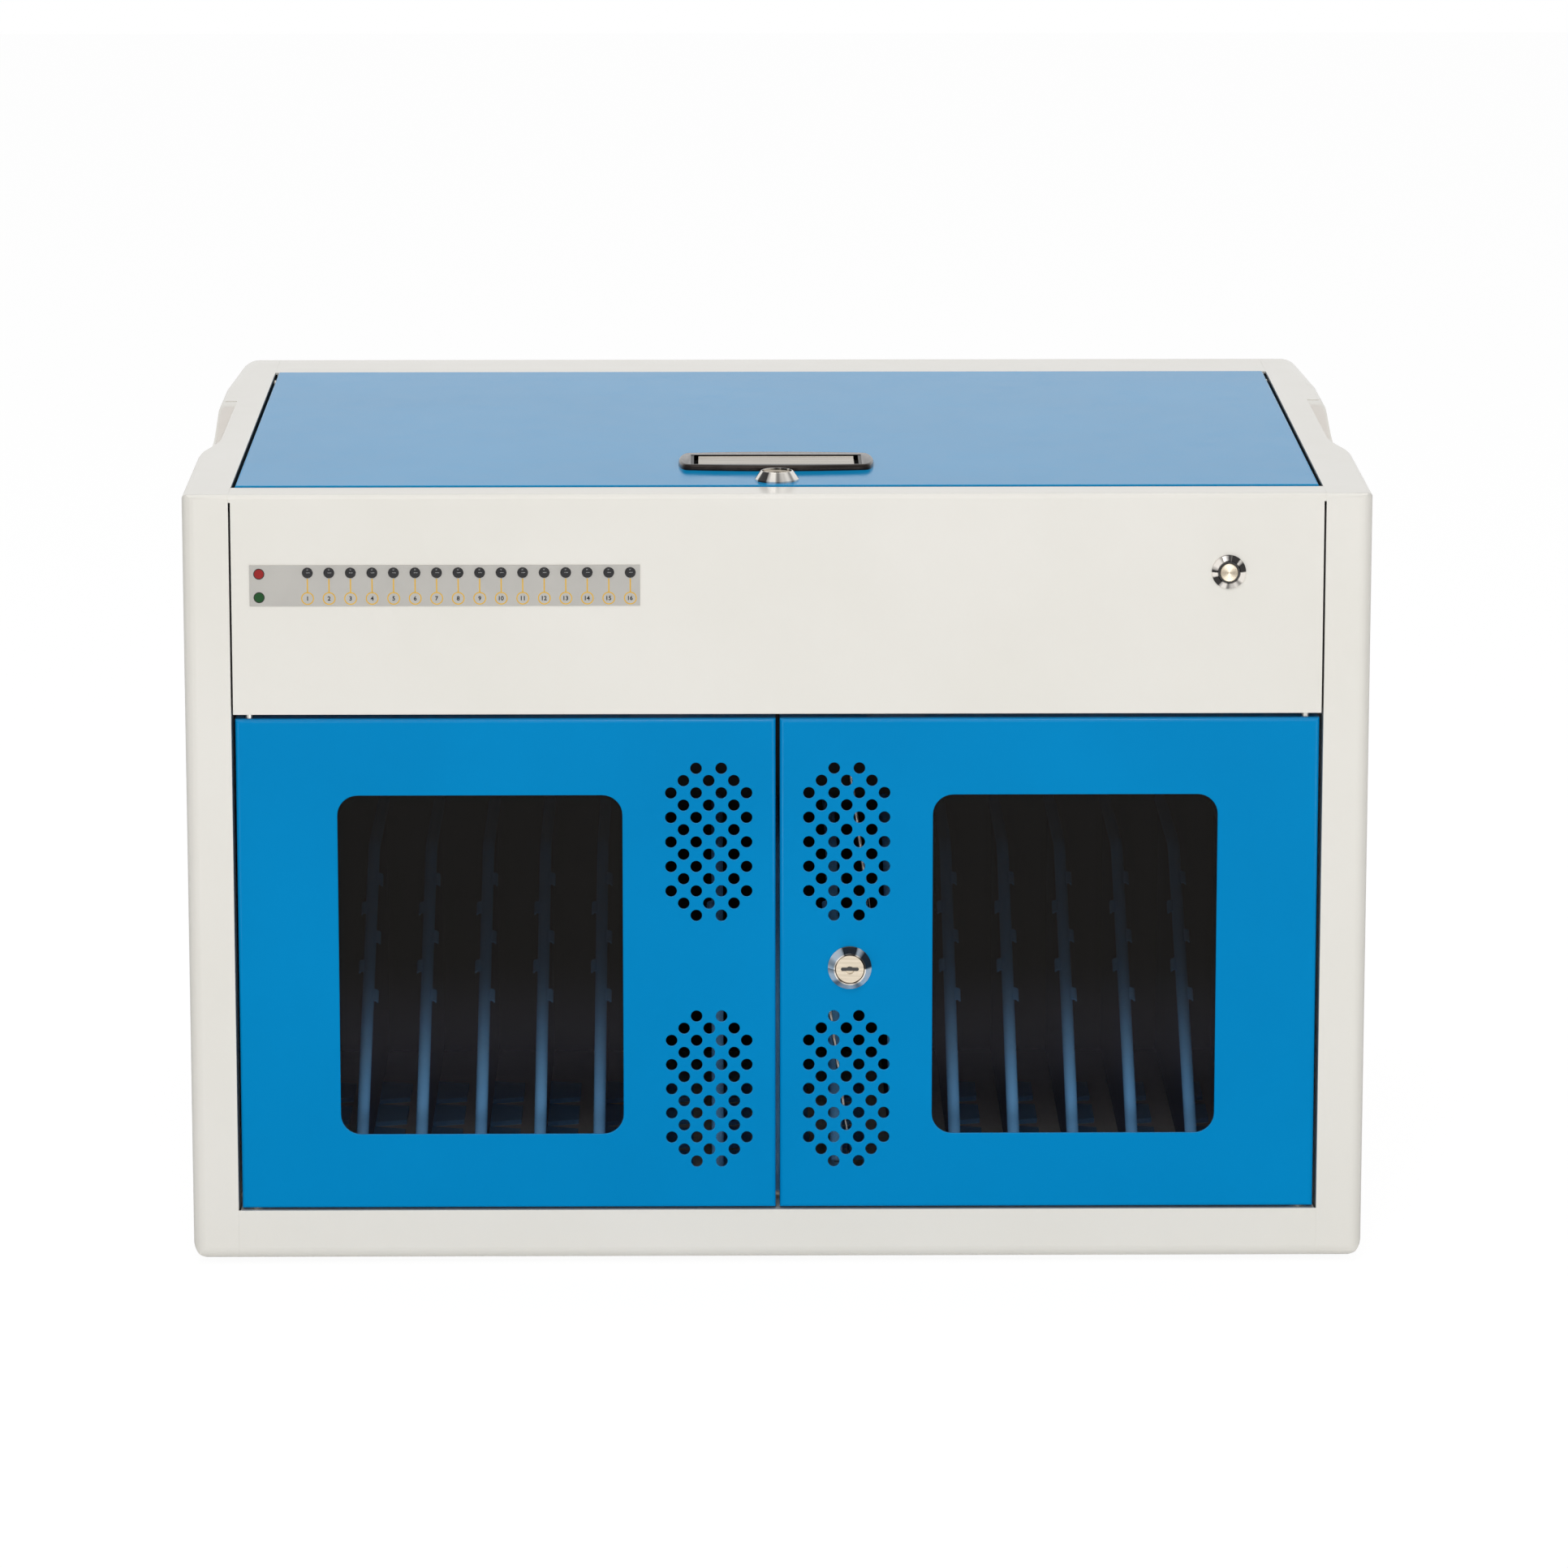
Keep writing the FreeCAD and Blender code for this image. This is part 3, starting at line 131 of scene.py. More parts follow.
class Finish(Nodes):
    """A procedural material with one main shader."""

    def __init__(self, name, roughness, metallic=0.0, **constants):
        self.material = bpy.data.materials.new(name)
        self.material.use_nodes = True
        super().__init__(self.material.node_tree)
        self.shader = self.tree.nodes["Principled BSDF"]
        self.set("Roughness", roughness)
        self.set("Metallic", metallic)
        for socket, number in constants.items():
            self.set(socket.replace("_", " "), number)
        self.place = self.node("ShaderNodeTexCoord", {}, {}, "Object")

    def set(self, socket, source):
        self.fill(self.shader.inputs[socket], source)

    def axes(self):
        split = self.node("ShaderNodeSeparateXYZ", {}, {0: self.place})
        return [split.output(axis) for axis in "XYZ"]

    def facing_up(self):
        """0 on upright faces, rising to 1 on those that look straight up."""
        facing = self.node("ShaderNodeTexCoord", {}, {}, "Normal")
        return self.node("ShaderNodeSeparateXYZ", {}, {0: facing}, "Z").larger(0.0)

    def polar(self, centre, first, second):
        """Distance from a centre, angle and share of the second axis, seen along the third one."""
        axes = self.axes()
        across = axes[first] - centre[first]
        up = axes[second] - centre[second]
        distance = ((across * across + up * up) ** 0.5).larger(1e-5)
        return distance, across.math("ARCTAN2", up, across), up / distance

    def line_noise(self, along, scale):
        """Noise along one number."""
        return self.node("ShaderNodeTexNoise", {"noise_dimensions": "1D"},
                         {"W": along, "Scale": scale, "Detail": 0.5}, "Fac")

    def noise(self, scale, detail=2.0, stretch=(1.0, 1.0, 1.0)):
        place = self.node("ShaderNodeMapping", {}, {"Vector": self.place, "Scale": stretch})
        return self.node("ShaderNodeTexNoise", {}, {"Vector": place, "Scale": scale, "Detail": detail}, "Fac")

    def spread(self, amount, low, high):
        """A noise level stretched to run between two numbers."""
        return self.node("ShaderNodeMapRange", {}, {"Value": amount, "From Min": 0.3, "From Max": 0.7,
                                                    "To Min": low, "To Max": high})

    def blend(self, amount, first, second):
        """A colour between two, by an amount from 0 to 1."""
        return self.node("ShaderNodeMix", {"data_type": "RGBA"}, {"Factor": amount, 6: first, 7: second}, 2)

    def bump(self, height, strength, distance):
        self.set("Normal", self.node("ShaderNodeBump", {}, {"Height": height, "Strength": strength,
                                                            "Distance": distance}))


def tone(red, green, blue):
    """A screen colour, 0 to 255, as the shader's linear colour."""
    levels = [channel / 255 for channel in (red, green, blue)]
    linear = [level / 12.92 if level <= 0.04045 else ((level + 0.055) / 1.055) ** 2.4 for level in levels]
    return (*linear, 1.0)


# Finishes

def powder_coat(name, colour, worn, roughness, specular=0.5, gleam=0.0):
    """Sprayed paint: a faint orange-peel skin, slow drifts of tone, and a gleam on the bends that look up."""
    finish = Finish(name, roughness, Specular_IOR_Level=specular, Coat_Roughness=0.15)
    drift = finish.spread(finish.noise(9.0, 3.0), 0.0, 1.0)
    finish.set("Base Color", finish.blend(drift, colour, worn))
    finish.set("Roughness", finish.spread(finish.noise(60.0), roughness - 0.03, roughness + 0.03))
    finish.set("Coat Weight", finish.facing_up() * gleam)
    finish.bump(finish.noise(900.0), 0.05, 0.0003)
    return finish.material


def moulded_plastic(name, colour, second, roughness, specular=0.5):
    """Injection-moulded plastic with a fine spark-eroded grain."""
    finish = Finish(name, roughness, Specular_IOR_Level=specular)
    finish.set("Base Color", finish.blend(finish.spread(finish.noise(30.0, 3.0), 0.0, 1.0), colour, second))
    grain = finish.noise(2500.0, 1.0)
    finish.set("Roughness", finish.spread(grain, roughness - 0.04, roughness + 0.06))
    finish.bump(grain, 0.08, 0.0001)
    return finish.material


def plated_metal(name, colour, second, roughness):
    """Bright plate with faint clouding."""
    finish = Finish(name, roughness, 1.0)
    cloud = finish.spread(finish.noise(120.0, 3.0), 0.0, 1.0)
    finish.set("Base Color", finish.blend(cloud, colour, second))
    finish.set("Roughness", finish.spread(finish.noise(400.0), roughness, roughness + 0.04))
    return finish.material


def brushed_metal(name, colour, second, roughness, stretch):
    """Metal brushed along one axis: the grain is short across it and long along it."""
    finish = Finish(name, roughness, 1.0)
    lines = finish.noise(1.0, 4.0, stretch)
    finish.set("Base Color", finish.blend(finish.spread(lines, 0.0, 1.0), colour, second))
    finish.set("Roughness", finish.spread(lines, roughness - 0.06, roughness + 0.08))
    finish.bump(lines, 0.1, 0.0001)
    return finish.material


def turned_metal(name, bright, dark, roughness, centre):
    """A lathe-turned face, seen from the front: fine rings, and two painted highlight fans above and below
    the centre, where the grooves would catch light.
    """
    finish = Finish(name, roughness, 1.0)
    distance, _, rise = finish.polar(centre, 0, 2)
    rings = finish.line_noise(distance, 6000.0)
    # Painted highlight: the base colour brightens towards the top and bottom of the face.
    finish.set("Base Color", finish.blend(rise * rise * 0.75 + rings * 0.25, dark, bright))
    finish.set("Roughness", finish.spread(rings, roughness - 0.05, roughness + 0.08))
    return finish.material


def mirror_ring(name, bright, dark, centre, first, second, bands):
    """Polished plate on a cone, its reflections set as tones: bands round its axis, darker at the top."""
    finish = Finish(name, 0.06, 0.45)
    _, angle, rise = finish.polar(centre, first, second)
    sweep = finish.node("ShaderNodeMapRange", {}, {"Value": finish.line_noise(angle, bands),
                                                   "From Min": 0.46, "From Max": 0.56})
    finish.set("Base Color", finish.blend(sweep.larger(rise.larger(0.0) ** 10.0), bright, dark))
    finish.set("Roughness", finish.spread(finish.noise(400.0), 0.05, 0.09))
    return finish.material


def smoked_sheet(name, lower_tone, dark, clear, cover, low, high):
    """Smoked acrylic with faint wipe marks, its tint deepening and growing more opaque from a low height to a
    high one: painted shade over the darker upper inside of the cabinet.
    """
    finish = Finish(name, 0.08, Specular_IOR_Level=0.12)
    # Painted shade: the sheet turns darker and more opaque towards the top.
    share = finish.node("ShaderNodeMapRange", {"interpolation_type": "SMOOTHSTEP"},
                        {"Value": finish.axes()[2], "From Min": low, "From Max": high})
    finish.set("Base Color", finish.blend(share, lower_tone, dark))
    finish.set("Roughness", finish.spread(finish.noise(40.0), 0.05, 0.11))
    marks = finish.spread(finish.noise(14.0, 3.0), -0.02, 0.02)
    finish.set("Alpha", share * (cover - clear) + clear + marks)
    return finish.material


def rubber(name):
    """Black rubber with a dull grain."""
    finish = Finish(name, 0.75)
    grain = finish.noise(700.0, 3.0)
    finish.set("Base Color", finish.blend(finish.spread(grain, 0.0, 1.0), tone(24, 24, 25), tone(38, 38, 39)))
    finish.bump(grain, 0.3, 0.0003)
    return finish.material


def printed_film(name, colour, second):
    """Satin plastic film."""
    finish = Finish(name, 0.38, Specular_IOR_Level=0.3)
    finish.set("Base Color", finish.blend(finish.spread(finish.noise(45.0, 3.0), 0.0, 1.0), colour, second))
    weave = finish.noise(3000.0, 1.0)
    finish.set("Roughness", finish.spread(weave, 0.34, 0.44))
    finish.bump(weave, 0.04, 0.0001)
    return finish.material


def ink(name, colour, second):
    """Screen-printed ink with a slightly uneven lay."""
    finish = Finish(name, 0.45, Specular_IOR_Level=0.2)
    finish.set("Base Color", finish.blend(finish.spread(finish.noise(900.0), 0.0, 1.0), colour, second))
    return finish.material


WHITE_PAINT = powder_coat("cream_paint", tone(228, 225, 218), tone(225, 222, 214), 0.42, 0.3, 0.5)
# Dark paint for the lid rails and the side panels' rim folds: painted shade that darkens the lid gap, which
# lies in shadow.
PAINTED_SHADE = powder_coat("painted_shade", tone(46, 44, 42), tone(40, 38, 36), 0.5, 0.2)
INNER_PAINT = powder_coat("inner_paint", tone(205, 203, 197), tone(198, 196, 190), 0.5)
DOOR_PAINT = powder_coat("door_paint", tone(0, 130, 190), tone(0, 134, 195), 0.34, 0.02, 1.0)
LID_PAINT = powder_coat("lid_paint", tone(0, 141, 197), tone(0, 145, 202), 0.13, 0.05)
# The windows' tint, deeper towards the top, is painted shade.
SMOKED = smoked_sheet("smoked_acrylic", tone(54, 53, 60), tone(18, 16, 14), 0.06, 0.6, 0.085, 0.165)
DIVIDER_BLUE = moulded_plastic("divider_plastic", tone(126, 196, 255), tone(132, 200, 255), 0.25)
WEB_BLUE = moulded_plastic("divider_web_plastic", tone(44, 62, 110), tone(38, 56, 102), 0.5, 0.2)
RACK_PALE = moulded_plastic("rack_plastic", tone(232, 224, 216), tone(224, 216, 208), 0.5)
# The rack back's dark plastic is painted shade for the cabinet's dim upper inside.
RACK_PAINTED_SHADE = moulded_plastic("rack_back_painted_shade", tone(44, 42, 40), tone(36, 34, 33), 0.6)
GRIP_PLASTIC = moulded_plastic("grip_plastic", tone(226, 221, 214), tone(220, 214, 207), 0.45)
RUBBER = rubber("foot_rubber")
ZINC = brushed_metal("zinc_plate", tone(196, 194, 188), tone(170, 168, 160), 0.34, (400.0, 400.0, 30.0))
CHROME = plated_metal("chrome_plate", tone(228, 224, 218), tone(216, 212, 206), 0.05)
NICKEL = brushed_metal("satin_nickel", tone(180, 172, 160), tone(152, 145, 133), 0.3, (25.0, 900.0, 900.0))
DARK_NICKEL = plated_metal("dark_nickel", tone(42, 38, 36), tone(35, 31, 29), 0.2)
PLUG_METAL = brushed_metal("plug_metal", tone(190, 179, 162), tone(164, 154, 138), 0.34, (40.0, 900.0, 900.0))
FILM = printed_film("legend_film", tone(184, 181, 175), tone(178, 175, 169))
LENS = moulded_plastic("lamp_lens", tone(26, 26, 28), tone(34, 34, 36), 0.1, 0.4)
BOARD = moulded_plastic("circuit_board", tone(28, 96, 52), tone(22, 82, 44), 0.45)
BLACK_PLASTIC = moulded_plastic("black_plastic", tone(22, 21, 21), tone(30, 29, 29), 0.45)
MODULE_METAL = brushed_metal("module_metal", tone(190, 190, 190), tone(170, 170, 170), 0.4,
                             (30.0, 500.0, 500.0))
ORANGE_INK = ink("orange_ink", tone(224, 178, 58), tone(216, 170, 52))
RED_INK = ink("red_ink", tone(148, 22, 22), tone(140, 18, 18))
GREEN_INK = ink("green_ink", tone(6, 72, 22), tone(4, 64, 18))
BLACK_INK = ink("black_ink", tone(28, 26, 24), tone(36, 33, 30))

FINISHES = {
    "white_paint": WHITE_PAINT, "inner_paint": INNER_PAINT, "blue_paint": DOOR_PAINT,
    "smoked_acrylic": SMOKED, "divider_plastic": DIVIDER_BLUE, "rack_plastic": RACK_PALE,
    "grip_plastic": GRIP_PLASTIC, "rubber": RUBBER, "zinc": ZINC, "chrome": CHROME,
    "satin_nickel": NICKEL, "dark_nickel": DARK_NICKEL, "legend_print": FILM, "lamp_lens": LENS,
    "circuit_board": BOARD, "black_plastic": BLACK_PLASTIC, "module_case": MODULE_METAL,
}
# The lid rails and the rack back take dark finishes as painted shade.
OWN_FINISHES = {"lid_panel": LID_PAINT, "rack_back": RACK_PAINTED_SHADE, "lid_rails": PAINTED_SHADE}
SLOT_OF = {entry["node"]: entry["material_slot"] for entry in frame["record"]["subparts"]}
BODY_OF = {node: body for body, nodes in frame["record"]["behaviour"]["bodies"].items() for node in nodes}
JOINTS = {joint["name"]: joint for joint in frame["record"]["behaviour"]["joints"]}


# Piece tools: lengths are millimetres until a mesh is made

def finish_of(node):
    return OWN_FINISHES.get(node, FINISHES[SLOT_OF[node]])


def limits(node):
    """Lowest and highest corner of a node."""
    low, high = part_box(node)
    return Vector(low) / MM, Vector(high) / MM


def at(x, y, z):
    """A shift to a place."""
    return Matrix.Translation(Vector((x, y, z)) * MM)


FACING_FRONT = Matrix.Rotation(math.radians(90), 4, "X")
FACING_BACK = Matrix.Rotation(math.radians(-90), 4, "X")
FACING_SIDE = Matrix.Rotation(math.radians(90), 4, "Y")


def settle(name, bm, material, node, nodes=(), sharp=35):
    """Turns a bmesh into a piece with the given material, that rides with a node and stands for some nodes.
    """
    bmesh.ops.recalc_face_normals(bm, faces=bm.faces)
    mesh = bpy.data.meshes.new(name)
    bm.to_mesh(mesh)
    bm.free()
    mesh.materials.append(material)
    mesh.shade_smooth()
    mesh.set_sharp_from_angle(angle=math.radians(sharp))
    item = bpy.data.objects.new(name, mesh)
    bpy.context.scene.collection.objects.link(item)
    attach(item, BODY_OF[node])
    if nodes:
        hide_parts(*nodes)
    return item


def soften(item, width, segments=2):
    """Breaks the sharp edges so that they catch the light."""
    bevel = item.modifiers.new("broken_edges", "BEVEL")
    bevel.width = width * MM
    bevel.segments = segments
    bevel.limit_method = "ANGLE"
    bevel.angle_limit = math.radians(40)
    bevel.profile = 0.5
    flats = item.modifiers.new("flat_faces", "WEIGHTED_NORMAL")
    flats.keep_sharp = True
    return item


def merged_copy(node):
    """The node's own shape with its triangles merged and its flat faces made whole."""
    bm = bmesh.new()
    bm.from_mesh(frame["nodes"][node].data)
    bmesh.ops.remove_doubles(bm, verts=bm.verts, dist=2e-6)
    bmesh.ops.dissolve_limit(bm, angle_limit=math.radians(0.5), verts=bm.verts, edges=bm.edges)
    return bm


def dressed(node, width):
    """The node's own shape with its edges broken."""
    return soften(settle(f"{node}_dressed", merged_copy(node), finish_of(node), node, [node]), width)


def block(bm, low, high):
    """A box between two corners."""
    low, high = Vector(low), Vector(high)
    size = Matrix.Diagonal((*((high - low) * MM), 1))
    return bmesh.ops.create_cube(bm, size=1.0, matrix=at(*((low + high) / 2)) @ size)["verts"]


def round_off(bm, edges, radius, segments):
    """Rounds some edges of a mesh."""
    bmesh.ops.bevel(bm, geom=edges, offset=radius * MM, offset_type="OFFSET", affect="EDGES",
                    segments=segments, profile=0.5, material=-1)


def round_block(bm, low, high, axis, radius, segments=8):
    """A box whose four edges along one axis are rounded."""
    verts = block(bm, low, high)
    edges = {edge for vert in verts for edge in vert.link_edges}
    along = [edge for edge in edges if abs((edge.verts[0].co - edge.verts[1].co)[axis]) > 1e-6]
    round_off(bm, along, radius, segments)


def cylinder(bm, radius, depth, place, facets=20):
    """A round bar whose middle is at the origin of its place."""
    bmesh.ops.create_cone(bm, cap_ends=True, segments=facets, radius1=radius * MM, radius2=radius * MM,
                          depth=depth * MM, matrix=place)


def spun(bm, profile, place, steps=48):
    """Turns a profile of (radius, height) points about its own axis and sets it in place."""
    others = set(bm.verts)
    points = [bm.verts.new((radius * MM, 0, height * MM)) for radius, height in profile]
    edges = [bm.edges.new(pair) for pair in zip(points, points[1:])]
    bmesh.ops.spin(bm, geom=points + edges, cent=(0, 0, 0), axis=(0, 0, 1), angle=math.tau, steps=steps,
                   use_merge=True)
    bmesh.ops.remove_doubles(bm, verts=[vert for vert in bm.verts if vert not in others], dist=1e-7)
    bmesh.ops.transform(bm, matrix=place, verts=[vert for vert in bm.verts if vert not in others])


def ring_profile(inner, outer, low, high):
    """The profile of a square-edged ring."""
    return [(inner, low), (outer, low), (outer, high), (inner, high), (inner, low)]


def dome_profile(radius, height):
    """The profile of a low dome on a flat base."""
    turns = [math.radians(15 * step) for step in range(7)]
    return [(0, 0), *((radius * math.cos(turn), height * math.sin(turn)) for turn in turns)]


def prism(bm, corners, direction):
    """A solid swept straight from a flat outline."""
    face = bm.faces.new([bm.verts.new(corner * MM) for corner in corners])
    swept = bmesh.ops.extrude_face_region(bm, geom=[face])["geom"]
    moved = [part for part in swept if isinstance(part, bmesh.types.BMVert)]
    bmesh.ops.translate(bm, vec=direction * MM, verts=moved)


def tube(bm, path, radius, facets=14):
    """A round bar along a line of points that lies across X, with closed ends."""
    loops = []
    side = Vector((1, 0, 0))
    for index, point in enumerate(path):
        ahead = (path[min(index + 1, len(path) - 1)] - path[max(index - 1, 0)]).normalized()
        turn = Matrix((side, ahead.cross(side), ahead)).transposed().to_4x4()
        ends = index in (0, len(path) - 1)
        verts = bmesh.ops.create_circle(bm, cap_ends=ends, segments=facets, radius=radius * MM,
                                        matrix=at(*point) @ turn)["verts"]
        loops.append(list({edge for vert in verts for edge in vert.link_edges}))
    for near, far in zip(loops, loops[1:]):
        bmesh.ops.bridge_loops(bm, edges=near + far)


def eased(points, reach, steps=6):
    """The same line with each corner rounded off over a reach along both legs."""
    line = [points[0]]
    for before, corner, after in zip(points, points[1:], points[2:]):
        start = corner + (before - corner).normalized() * reach
        end = corner + (after - corner).normalized() * reach
        for step in range(steps + 1):
            share = step / steps
            line.append(start.lerp(corner, share).lerp(corner.lerp(end, share), share))
    return [*line, points[-1]]


def carved(blank, cutter, operation="DIFFERENCE"):
    """The first shape less the second, or what both share; both are closed."""
    items = []
    for name, bm in (("blank", blank), ("cutter", cutter)):
        bmesh.ops.recalc_face_normals(bm, faces=bm.faces)
        mesh = bpy.data.meshes.new(name)
        bm.to_mesh(mesh)
        bm.free()
        items.append(bpy.data.objects.new(name, mesh))
        bpy.context.scene.collection.objects.link(items[-1])
    cut = items[0].modifiers.new("cut", "BOOLEAN")
    cut.operation = operation
    cut.solver = "EXACT"
    cut.object = items[1]
    result = bmesh.new()
    result.from_object(items[0], bpy.context.evaluated_depsgraph_get())
    for item in items:
        mesh = item.data
        bpy.data.objects.remove(item)
        bpy.data.meshes.remove(mesh)
    return result


# Side panels and grips

PANEL_LOW, PANEL_HIGH = limits("left_side_panel")
FRONT = PANEL_LOW.y
GAUGE = 1.2
CLEAR = 1.0
TOP_EDGE = 3.0
REAR_ROUND = 13.0
REAR_ROUND_FROM = 130.0
UPRIGHT_ROUND = 7.0
CORNER_ROUND = 10.0
JAMB_DEPTH = 20.0
RIM_DEPTH = 15.2
RIM_SETBACK = (23.0, 10.0)
SCOOP_INSET = 9.0
SCOOP_DROP = 13.0
SCOOP_STEP = 0.3
SCOOP_ENDS = (-117.0, 81.0)
SCOOP_BEND = 66.0
SCOOP_RISE = 70.0
SCOOP_STEPS = 48
POCKET_LOW = (-87.0, 357.5)
POCKET_HIGH = (45.0, 381.5)
POCKET_ROUND = 7.0
SEAM_EDGE = 0.1


def rounded(low, high, lower, upper, steps=8):
    """The outline of a flat box, with one radius at its lower corners and one at its upper corners."""
    corners = ((high[0] - upper, high[1] - upper, upper), (low[0] + upper, high[1] - upper, upper),
               (low[0] + lower, low[1] + lower, lower), (high[0] - lower, low[1] + lower, lower))
    points = []
    for quarter, (across, along, radius) in enumerate(corners):
        for step in range(steps + 1):
            turn = math.radians(90 * (quarter + step / steps))
            points.append((across + radius * math.cos(turn), along + radius * math.sin(turn)))
    return points


def lofted(rows):
    """A closed solid through a row of outlines that have equal numbers of points."""
    bm = bmesh.new()
    loops = [[bm.verts.new(point * MM) for point in row] for row in rows]
    for near, far in zip(loops, loops[1:]):
        for index in range(len(near)):
            after = (index + 1) % len(near)
            bm.faces.new([near[index], near[after], far[after], far[index]])
    bm.faces.new(loops[0])
    bm.faces.new(loops[-1])
    return bm


def body_end(inset, reach):
    """The left end of the body as a round-edged solid, moved in from its outside by an inset."""
    low = PANEL_LOW + Vector((inset, inset, inset))
    high = Vector((-low.x, PANEL_HIGH.y - inset, PANEL_HIGH.z - inset))
    upright = UPRIGHT_ROUND - inset
    stations = ((low.y - CLEAR, TOP_EDGE), (REAR_ROUND_FROM, TOP_EDGE), (high.y + CLEAR, REAR_ROUND))
    rows = []
    for y, top_round in stations:
        outline = rounded((low.x, low.z), (high.x, high.z), CORNER_ROUND - inset, top_round - inset)
        rows.append([Vector((x, y, z)) for x, z in outline])
    across, upward = bmesh.new(), bmesh.new()
    outline = rounded((low.x, low.y), (high.x, high.y), upright, upright)
    height = high.z - low.z + 2 * CLEAR
    prism(upward, [Vector((x, y, low.z - CLEAR)) for x, y in outline], Vector((0, 0, height)))
    outline = rounded((low.y, low.z), (high.y, high.z), upright, TOP_EDGE - inset)
    width = reach - low.x + CLEAR
    prism(across, [Vector((low.x - CLEAR, y, z)) for y, z in outline], Vector((width, 0, 0)))
    return carved(carved(lofted(rows), upward, "INTERSECT"), across, "INTERSECT")


def smooth_step(share):
    """Eases a share from 0 to 1, level at both ends."""
    share = min(max(share, 0.0), 1.0)
    return share * share * (3 - 2 * share)


def scoop():
    """The notch in the left top edge: it bends in and down from the front and rises again at the back."""
    start, end = SCOOP_ENDS
    rows = []
    for step in range(SCOOP_STEPS + 1):
        y = start + (end - start) * step / SCOOP_STEPS
        bend = smooth_step((y - start) / SCOOP_BEND)
        side = PANEL_LOW.x + SCOOP_INSET * bend
        drop = SCOOP_DROP * bend * smooth_step((end - y) / SCOOP_RISE) + SCOOP_STEP * bend
        corners = [(PANEL_LOW.x - CLEAR, drop), (side, drop), (side, -CLEAR), (PANEL_LOW.x - CLEAR, -CLEAR)]
        rows.append([Vector((x, y, PANEL_HIGH.z - down)) for x, down in corners])
    return lofted(rows)


def pocket():
    """The finger pocket below the scoop."""
    bm = bmesh.new()
    depth = limits("left_grip")[1].x - PANEL_LOW.x - 2 * CLEAR
    round_block(bm, (PANEL_LOW.x - CLEAR, *POCKET_LOW), (PANEL_LOW.x + depth, *POCKET_HIGH), 0, POCKET_ROUND)
    return bm


def sides():
    """Both side panels with their jambs and rim folds, the rim folds in dark paint as painted shade in the
    lid gap, and the moulded grips behind their cut-outs.
    """
    skin = carved(body_end(0, PANEL_HIGH.x), body_end(GAUGE, PANEL_HIGH.x + CLEAR))
    skin = carved(carved(skin, scoop()), pocket())
    fold = PANEL_HIGH.x - GAUGE
    inside = FRONT + GAUGE
    block(skin, (fold, inside, PANEL_LOW.z + CORNER_ROUND),
          (PANEL_HIGH.x, inside + JAMB_DEPTH, PANEL_HIGH.z - CORNER_ROUND))
    # The rim fold is a dark block: painted shade in the gap beside the lid.
    rim = bmesh.new()
    block(rim, (fold, FRONT + RIM_SETBACK[0], PANEL_HIGH.z - RIM_DEPTH),
          (PANEL_HIGH.x, PANEL_HIGH.y - RIM_SETBACK[1], PANEL_HIGH.z - GAUGE))
    grip_low, grip_high = limits("left_grip")
    blank = bmesh.new()
    block(blank, grip_low - Vector((CLEAR, 0, 0)), grip_high + Vector((0, 0, CLEAR)))
    grip = carved(body_end(GAUGE, PANEL_HIGH.x), blank, "INTERSECT")
    grip = carved(carved(grip, scoop()), pocket())
    shapes = (("side_panel", "skin", skin, WHITE_PAINT), ("side_panel", "rim", rim, PAINTED_SHADE),
              ("grip", "moulding", grip, GRIP_PLASTIC))
    for name, label, shape, material in shapes:
        mirrored = shape.copy()
        bmesh.ops.scale(mirrored, vec=(-1, 1, 1), verts=mirrored.verts)
        for node, bm in ((f"left_{name}", shape), (f"right_{name}", mirrored)):
            soften(settle(f"{node}_{label}", bm, material, node, [node]), SEAM_EDGE)


# Doors

BEND = 2.0
VENT_ROWS = (2, 3, 4, 3, 4, 3, 4, 3, 4, 3, 4, 3, 2)
VENT_SPACING = 13.0
VENT_ROW_STEP = 6.47
VENT_RADIUS = 3.0
VENT_OFFSET = 35.6
VENT_HEIGHTS = (225.7, 94.5)
PANE_LAP = 10.0
WINDOW_RADIUS = 10.5
PIN_RADIUS = 2.05
LOCK_BARREL = 9.2
DOOR_EDGE = 0.25


def pan(low, high):
    """A folded tray of sheet, open at the back, with rounded bends round its front."""
    outer = bmesh.new()
    block(outer, low, high)
    front = low.y * MM
    bends = [edge for edge in outer.edges if all(abs(vert.co.y - front) < 1e-6 for vert in edge.verts)]
    round_off(outer, bends, BEND, 5)
    inner = bmesh.new()
    wall = Vector((GAUGE, GAUGE, GAUGE))
    block(inner, low + wall, high + Vector((-GAUGE, CLEAR, -GAUGE)))
    return carved(outer, inner)


